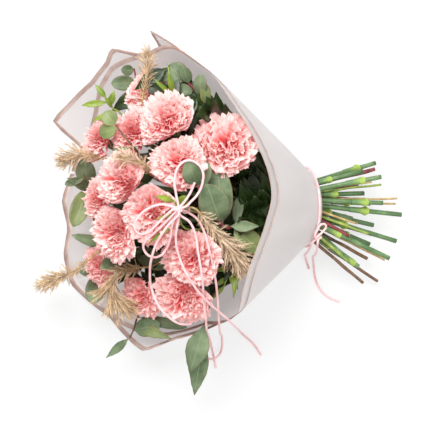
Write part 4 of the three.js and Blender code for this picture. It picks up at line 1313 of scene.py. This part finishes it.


# %% All the sprays
# Every spray has some leaves deep in the bunch, nearly black as painted shade, and those that
# stand nearest to the film's edge have more of them there. Each entry is their number, the turns
# round the cone that they reach to, where on the spray they grow, how far out to the film they
# go, and, where it is low, how high their tips may stand.
DEEP_LEAVES = (34, (-180, 180), (95, 222), (0.15, 0.74), 118)
EDGE_LEAVES = {
    "ruscus_3": (18, (-85, 40), (62, 135), (0.4, 0.86)),
    "ruscus_4": (18, (-60, 85), (62, 135), (0.4, 0.86)),
    "eucalyptus_7": (14, (-20, 85), (62, 135), (0.4, 0.86)),
    "eucalyptus_8": (20, (-90, -50), (62, 190), (0.4, 0.62)),
    "eucalyptus_3": (34, (50, 112), (80, 182), (0.5, 0.97)),
    "ruscus_2": (12, (40, 88), (80, 160), (0.4, 0.8)),
    "eucalyptus_5": (12, (-170, -105), (150, 225), (0.4, 0.8), 118),
    "eucalyptus_6": (9, (-160, -95), (160, 232), (0.35, 0.75), 118),
}
# The numbers of the olive leaves on a spray, from 0.
OLIVE = {"eucalyptus_4": [2], "eucalyptus_2": [0, 1], "eucalyptus_6": [2], "eucalyptus_3": [5, 6],
         "eucalyptus_7": [5]}
RED_TWIGS = ["eucalyptus_1", "eucalyptus_3", "eucalyptus_7"]
# A leaf whose tip is higher than this can lie on a head.
TOP_LEAVES = 120

leaves_on_top = []
for name, spray in SPRAYS.items():
    points = [Vector(point) for point in spray["route"]] + lower[name]
    if name.startswith("ruscus"):
        usual, twig, finish, slot = "narrow", green_twig, ruscus_finish, "ruscus_leaf"
    else:
        usual, twig, finish, slot = "round", brown_twig, eucalyptus_finish, "eucalyptus_leaf"
    pieces = [spray_stem(points, spray["radius"], red_twig if name in RED_TWIGS else twig)]
    for i, (distance, tip, width, *form) in enumerate(spray["leaves"]):
        root, direction = along_path(points, distance)
        leaf = (root, Vector(tip), width)
        pieces.append(leaf_blade(*leaf, form[0] if form else usual,
                                 olive_finish if i in OLIVE.get(name, []) else finish,
                                 len(name) * 31 + i))
        if tip[2] > TOP_LEAVES:
            leaves_on_top.append(leaf)
    pieces += deep_leaves(points, 100 + len(pieces), *DEEP_LEAVES)
    if name in EDGE_LEAVES:
        pieces += deep_leaves(points, 200 + len(pieces), *EDGE_LEAVES[name])
    hand_over(join_pieces(pieces), f"spray_of_{name}", name)
print("sprays:", len(SPRAYS))

# %% [markdown]
# ### Leaves that lie on flowers
#
# A few leaves in front rest on the heads and press the petals under them flat. The points of a
# head that would come through such a leaf are lowered to just below it.

# %% Press the petals under the leaves
def tuck(head, bloom, root, tip, width):
    """Lowers petals that stand up to 12 mm above a leaf to 1.2 mm under it, and counts them."""
    run = tip - root
    if (root + run / 2).z < bloom[0][2] + 0.4 * bloom[1]:
        return 0
    moved = 0
    for vertex in head.data.vertices:
        point = back_in_mm(vertex)
        share = (point - root).dot(run) / run.length_squared
        off = point - root - run * share
        above = off.z + 1.2
        if 0 < share < 1.03 and math.hypot(off.x, off.y) < width / 2 + 1 and 0 < above < 12:
            vertex.co.z -= above / 1000
            moved += 1
    return moved


moved = [tuck(head, bloom, *leaf) for head, bloom in zip(heads, BLOOMS) for leaf in leaves_on_top]
print("petal points pressed under", len(leaves_on_top), "leaves:", sum(moved))

# %% [markdown]
# ## Reed plumes
#
# The plumes are dried reed flowers. A thin culm carries a hundred short branches or more, and each
# branch is a brush of pointed chaff as fine as hair. One piece of chaff is a narrow blade of two
# faces, because there are tens of thousands of them. They are gathered into a branch three
# times, and the branches are copied round the culm by the golden angle, long in the middle of
# the plume and short at its tip.

# %% Finishes of the plumes
def chaff_material(name, dark, light):
    """Dry chaff, matt with a silky edge, in tufts of about 10 mm and paler towards its tips."""
    return patched_material(name, 110, 3, [(0.45, dark), (0.95, light)], along=0.45,
                            Roughness=0.8, Sheen_Weight=0.4, Sheen_Roughness=0.4)


tan_chaff = chaff_material("Tan reed chaff", "a07c56", "efd5ae")
cream_chaff = chaff_material("Cream reed chaff", "a8865c", "fde6c8")
culm_finish = twig_material("Dry reed culm", "9c7a48", "cbb07c")

# %% One branch of chaff, in three versions
BRANCH = 0.02
CHAFF_COUNT = 42
CHAFF_TURN = 2.4
DROOP = 0.12


def chaff(length, width):
    """One pointed blade of chaff along +Z from the origin."""
    def shape(u, v):
        half = width / 2 * (0.25 + 0.75 * math.sin(math.pi * min(1, v * 1.15)) ** 0.8)
        return Vector((u * half, DROOP * length * v * v, length * v))
    return grid_piece(1, 2, shape)


def branch_master(seed):
    """A branch 20 mm long along +Z with its chaff."""
    draw = random.Random(seed)
    pieces = [chaff(BRANCH, 0.0007)]
    for i in range(CHAFF_COUNT):
        share = (i + 0.5) / CHAFF_COUNT
        blade = chaff(draw.uniform(0.006, 0.011) * (1.1 - 0.4 * share), draw.uniform(28, 50) * 1e-5)
        lean = draw.uniform(0.1, 0.7)
        turn = i * CHAFF_TURN + draw.uniform(-0.4, 0.4)
        place = Vector((0, DROOP * BRANCH * share * share, BRANCH * share))
        blade.data.transform(Matrix.Translation(place) @ Matrix.Rotation(turn, 4, "Z")
                             @ Matrix.Rotation(lean, 4, "X"))
        pieces.append(blade)
    return join_pieces(pieces)


branches = [branch_master(seed) for seed in (11, 12, 13)]
print("faces of a branch:", [len(branch.data.polygons) for branch in branches])

# %% All the plumes
# The golden angle in radians.
BRANCH_TURN = 2.39996
# A dry culm is a little thinner than its solid.
DRY_CULM = CULM_RADIUS * 0.8
CREAM = ["plume_3", "plume_6"]

draw = random.Random(5)
for name, plume in PLUMES.items():
    points = [Vector(point) for point in plume["route"]] + lower[name]
    pieces = [spray_stem(points, DRY_CULM, culm_finish)]
    for i in range(plume["branches"]):
        share = (i + 0.5) / plume["branches"]
        root, down = along_path(points, share * plume["head"])
        up = -down
        across = Vector((0.2, 0.3, 1)).cross(up).normalized()
        outward = Quaternion(up, i * BRANCH_TURN) @ across
        outward = (outward + up * draw.uniform(0.5, 2.4)).normalized()
        swell = 0.5 + 0.75 * math.sin(math.pi * min(0.85, share + 0.1)) ** 2
        branch = copy_of(branches[i % 3])
        size = Matrix.Scale(plume["longest"] * swell * draw.uniform(0.85, 1.1), 4)
        branch.data.transform(size @ Matrix.Rotation(draw.uniform(0, 6.28), 4, "Z"))
        stand(branch, root, outward)
        branch.data.materials.append(cream_chaff if name in CREAM else tan_chaff)
        pieces.append(branch)
    whole = join_pieces(pieces)
    hand_over(whole, f"reed_{name}", name)
for branch in branches:
    bpy.data.objects.remove(branch, do_unlink=True)
print("plumes:", len(PLUMES), "with", len(whole.data.polygons), "faces in the last one")

# %% [markdown]
# ## The film
#
# The wrap is two square sheets of frosted plastic film, one in the other, turned so that their
# corners stand between each other. Each has a rose-gold line printed along its edges. The film
# is matt, milky and a little see-through, so the border of the sheet behind shows through it.
#
# A sheet is a grid again: its columns run round the cone and its rows run from the neck to the
# rim. The rim differs from angle to angle. The last row is as wide as the printed line, so the
# line has a finish of its own. In front the edge is rolled in, and only a thin line of the print
# shows there. Gathered film creases lengthwise, most of all near the tie.

# %% Finishes of the film
# The film's own tone drifts over about 70 mm.
film_finish = patched_material(
    "Frosted film", 14, 2, [(0.3, "a8a3a2"), (0.7, "b2adac")],
    Roughness=0.42, IOR=1.46, Alpha=0.62,
    # Milky film lets light through from its other side, which a little glow of its own stands for.
    Emission_Color=colour("fff9f8"), Emission_Strength=0.27)
where = add_node(film_finish, "TexCoord", {})
# Frosting is far finer than the picture shows, so it is drawn over 2.5 mm and very low.
frost = add_node(film_finish, "TexNoise", {
    "Vector": where.outputs["Object"], "Scale": 400, "Detail": 3,
})
add_node(film_finish, "Bump", {
    "Height": frost, "Strength": 0.08, "Distance": 0.0003,
}, "Normal")
# The metal of the print is worn in patches of about 14 mm.
border_finish = patched_material(
    "Rose gold print", 70, 5, [(0.3, "b89a90"), (0.7, "dac1b7")], Roughness=0.38, Metallic=0.55)

# %% The sheets' rim and seams
# Angle from the front, and how far the inner and the outer sheet reach there, in millimetres.
RIM = [
    (0, 127, 118), (12, 128, 118), (24, 132, 122), (35, 144, 134), (43, 160, 148), (54, 172, 160),
    (68, 178, 168), (80, 188, 180), (86, 200, 194), (91, 208, 212), (97, 211, 230), (102, 213, 212),
    (109, 216, 214), (116, 223, 224), (122, 232, 248), (129, 242, 248), (139, 248, 257),
    (149, 248, 274), (156, 250, 288), (162, 256, 252), (170, 264, 260), (178, 272, 268),
    (186, 266, 262), (194, 272, 270), (203, 268, 260), (210, 254, 250), (219, 236, 236),
    (230, 216, 226), (242, 194, 216), (248, 180, 188), (257, 158, 168), (268, 152, 150),
    (284, 148, 142), (300, 152, 144), (315, 160, 150), (327, 166, 154), (337, 154, 144),
    (348, 142, 132),
]
NECK_END = 40
BORDER = 4.2
FRONT_BORDER = 1.6


def from_front(angle):
    """How far an angle is from the front, either way round."""
    return abs((angle + 180) % 360 - 180)


def straight_rim(angle, column):
    """How far a sheet reaches at an angle, on straight lines between the listed places."""
    angle %= 360
    before = [row for row in RIM if row[0] <= angle][-1]
    after = next((row for row in RIM if row[0] > angle), (360, *RIM[0][1:]))
    share = (angle - before[0]) / (after[0] - before[0])
    return before[column] * (1 - share) + after[column] * share


def rim_at(angle, column):
    """The rim with its kinks rounded: a lot in front, where it is a curve, hardly at the corners."""
    # The rounding takes in 13 degrees to each side in front, and 1 degree at the corners.
    half = 13 - 12 * smoothstep(from_front(angle), 50, 85)
    steps = [straight_rim(angle + half * k / 3, column) for k in range(-3, 4)]
    return sum(steps) / len(steps)


def crease(angle, reach):
    """How far the film stands out at a place, in soft creases that fan out from the neck."""
    turn = math.radians(angle)
    wave = math.sin(11 * turn + 0.7 * math.sin(3 * turn)) + 0.6 * math.sin(17 * turn + 1.3)
    fades = smoothstep(reach, 52, 84) * (1 - 0.75 * smoothstep(reach, 120, 200))
    return 0.75 * (1 + 0.62 * wave) * fades


# %% The two sheets
SLIT = 0.8
COLUMNS = 170
ROWS = 30
FILM_THICKNESS = 0.0003
# How long a degree round the cone is, for each millimetre of reach.
DEGREE = 0.0128
# Each sheet: how far it stands off the cone, its column in the rim table, and the angle round the
# cone where its back seam lies.
SHEETS = {"wrap_inner": (0, 1, 170), "wrap_outer": (SHEET_STEP, 2, 203)}


def film_sheet(offset, column, seam):
    """A sheet as a grid round the cone, open by a slit along its back seam."""
    def shape(u, v):
        angle = seam + (u + 1) / 2 * (360 - SLIT)
        rim = rim_at(angle, column)
        slope = (rim_at(angle + 1.5, column) - rim_at(angle - 1.5, column)) / (3 * DEGREE * rim)
        line = FRONT_BORDER + (BORDER - FRONT_BORDER) * smoothstep(from_front(angle), 62, 84)
        # Where the rim runs at a slant, the line takes up more of the reach.
        line *= min(1.8, math.hypot(1, slope))
        row = v * ROWS
        reach = rim
        if row < ROWS - 0.5:
            reach = NECK_END + (rim - line - NECK_END) * row / (ROWS - 1)
        # The creases die out where the film lies on the table.
        free = smoothstep(cone(angle, reach).z, 4, 16)
        return here(outside(angle, reach, offset + crease(angle, reach) * free))

    sheet = grid_piece(COLUMNS, ROWS, shape)
    sheet.data.materials.append(film_finish)
    sheet.data.materials.append(border_finish)
    uv = sheet.data.uv_layers[0].data
    for face in sheet.data.polygons:
        along = sum(uv[i].uv.y for i in face.loop_indices) / len(face.loop_indices)
        face.material_index = 1 if along > 1 - 1 / ROWS else 0
    bpy.ops.object.shade_smooth()
    return sheet


for name, (offset, column, seam) in SHEETS.items():
    film = film_sheet(offset, column, seam)
    thicken(film, FILM_THICKNESS)
    hand_over(film, name.replace("wrap_", "film_sheet_"), name)

# %% [markdown]
# ## The twine round the stems
#
# Florists bind the bundle with twine before they wrap it. It is hidden inside the film here: one
# loose turn of 2.4 mm jute, round the waist of the bundle.

# %% The twine
TWINE = 2.4

twine_finish = new_material("Jute twine", Roughness=0.9)
where = add_node(twine_finish, "TexCoord", {})
# Two plies of about 1.2 mm cross the twine at a slant.
plies = add_node(twine_finish, "TexWave", {
    "Vector": where.outputs["Object"], "Scale": 130, "Distortion": 3, "Detail": 2,
}, wave_type="BANDS", bands_direction="DIAGONAL")
add_node(twine_finish, "ValToRGB", {"Fac": plies.outputs["Fac"]}, "Base Color", [
    (0.2, "8c6a43"), (0.8, "c6a678"),
])
add_node(twine_finish, "Bump", {
    "Height": plies.outputs["Fac"], "Strength": 0.6, "Distance": 0.0004,
}, "Normal")

wide = (twine_high.y - twine_low.y) * 500 - TWINE / 2
high = wide / WAIST_ASPECT
twine_route = [at(WAIST_REACH, wide * math.sin(a), high * math.cos(a))
               for a in [math.radians(22.5 * i) for i in range(16)]]
twine = as_mesh(cord_curve(twine_route, closed=True, thick=TWINE))
bpy.ops.object.shade_smooth()
hand_over(twine, "twine_round_waist", "waist_tie", [twine_finish])
print("twine loop in mm:", round(2 * wide), "by", round(2 * high))

# %% [markdown]
# ## Floor and light
#
# The photograph has a plain white ground and soft, even light from above, with hardly a shadow.
# A large pale floor that glows a little and three big, weak area lights give that.

# %% The floor
# Clouds in the paper of about 330 mm hardly show. The paper is lit from below, as on a light
# table, because light comes through the film from behind too.
floor_finish = patched_material(
    "White paper floor", 3, 2, [(0.3, "808080"), (0.7, "848484")],
    Roughness=0.9, Emission_Color=colour("ffffff"), Emission_Strength=0.68)
select()
bpy.ops.mesh.primitive_plane_add(size=6, location=(0, 0, -0.0006))
floor = bpy.context.object
floor.name = "floor_of_white_paper"
floor.data.materials.append(floor_finish)


# %% The lights
def soft_light(name, place, size, power):
    """A square area light at a place in metres that looks at the bunch."""
    select()
    bpy.ops.object.light_add(type="AREA", location=place)
    light = bpy.context.object
    light.name = name
    light.data.size = size
    light.data.energy = power
    aim = Vector((0, 0, 0.1)) - Vector(place)
    light.rotation_euler = aim.to_track_quat("-Z", "Y").to_euler()


soft_light("light_above", (-0.4, 1.0, 1.75), 1.1, 48)
soft_light("light_from_stems", (1.3, -0.4, 1.3), 1.2, 12)
soft_light("light_from_front", (-0.4, -1.4, 1.2), 1.4, 7)
world = bpy.data.worlds.new("soft_room")
bpy.context.scene.world = world
world.use_nodes = True
background = world.node_tree.nodes["Background"]
background.inputs["Color"].default_value = colour("ffffff")
background.inputs["Strength"].default_value = 0.5
bpy.context.scene.view_settings.view_transform = "Standard"
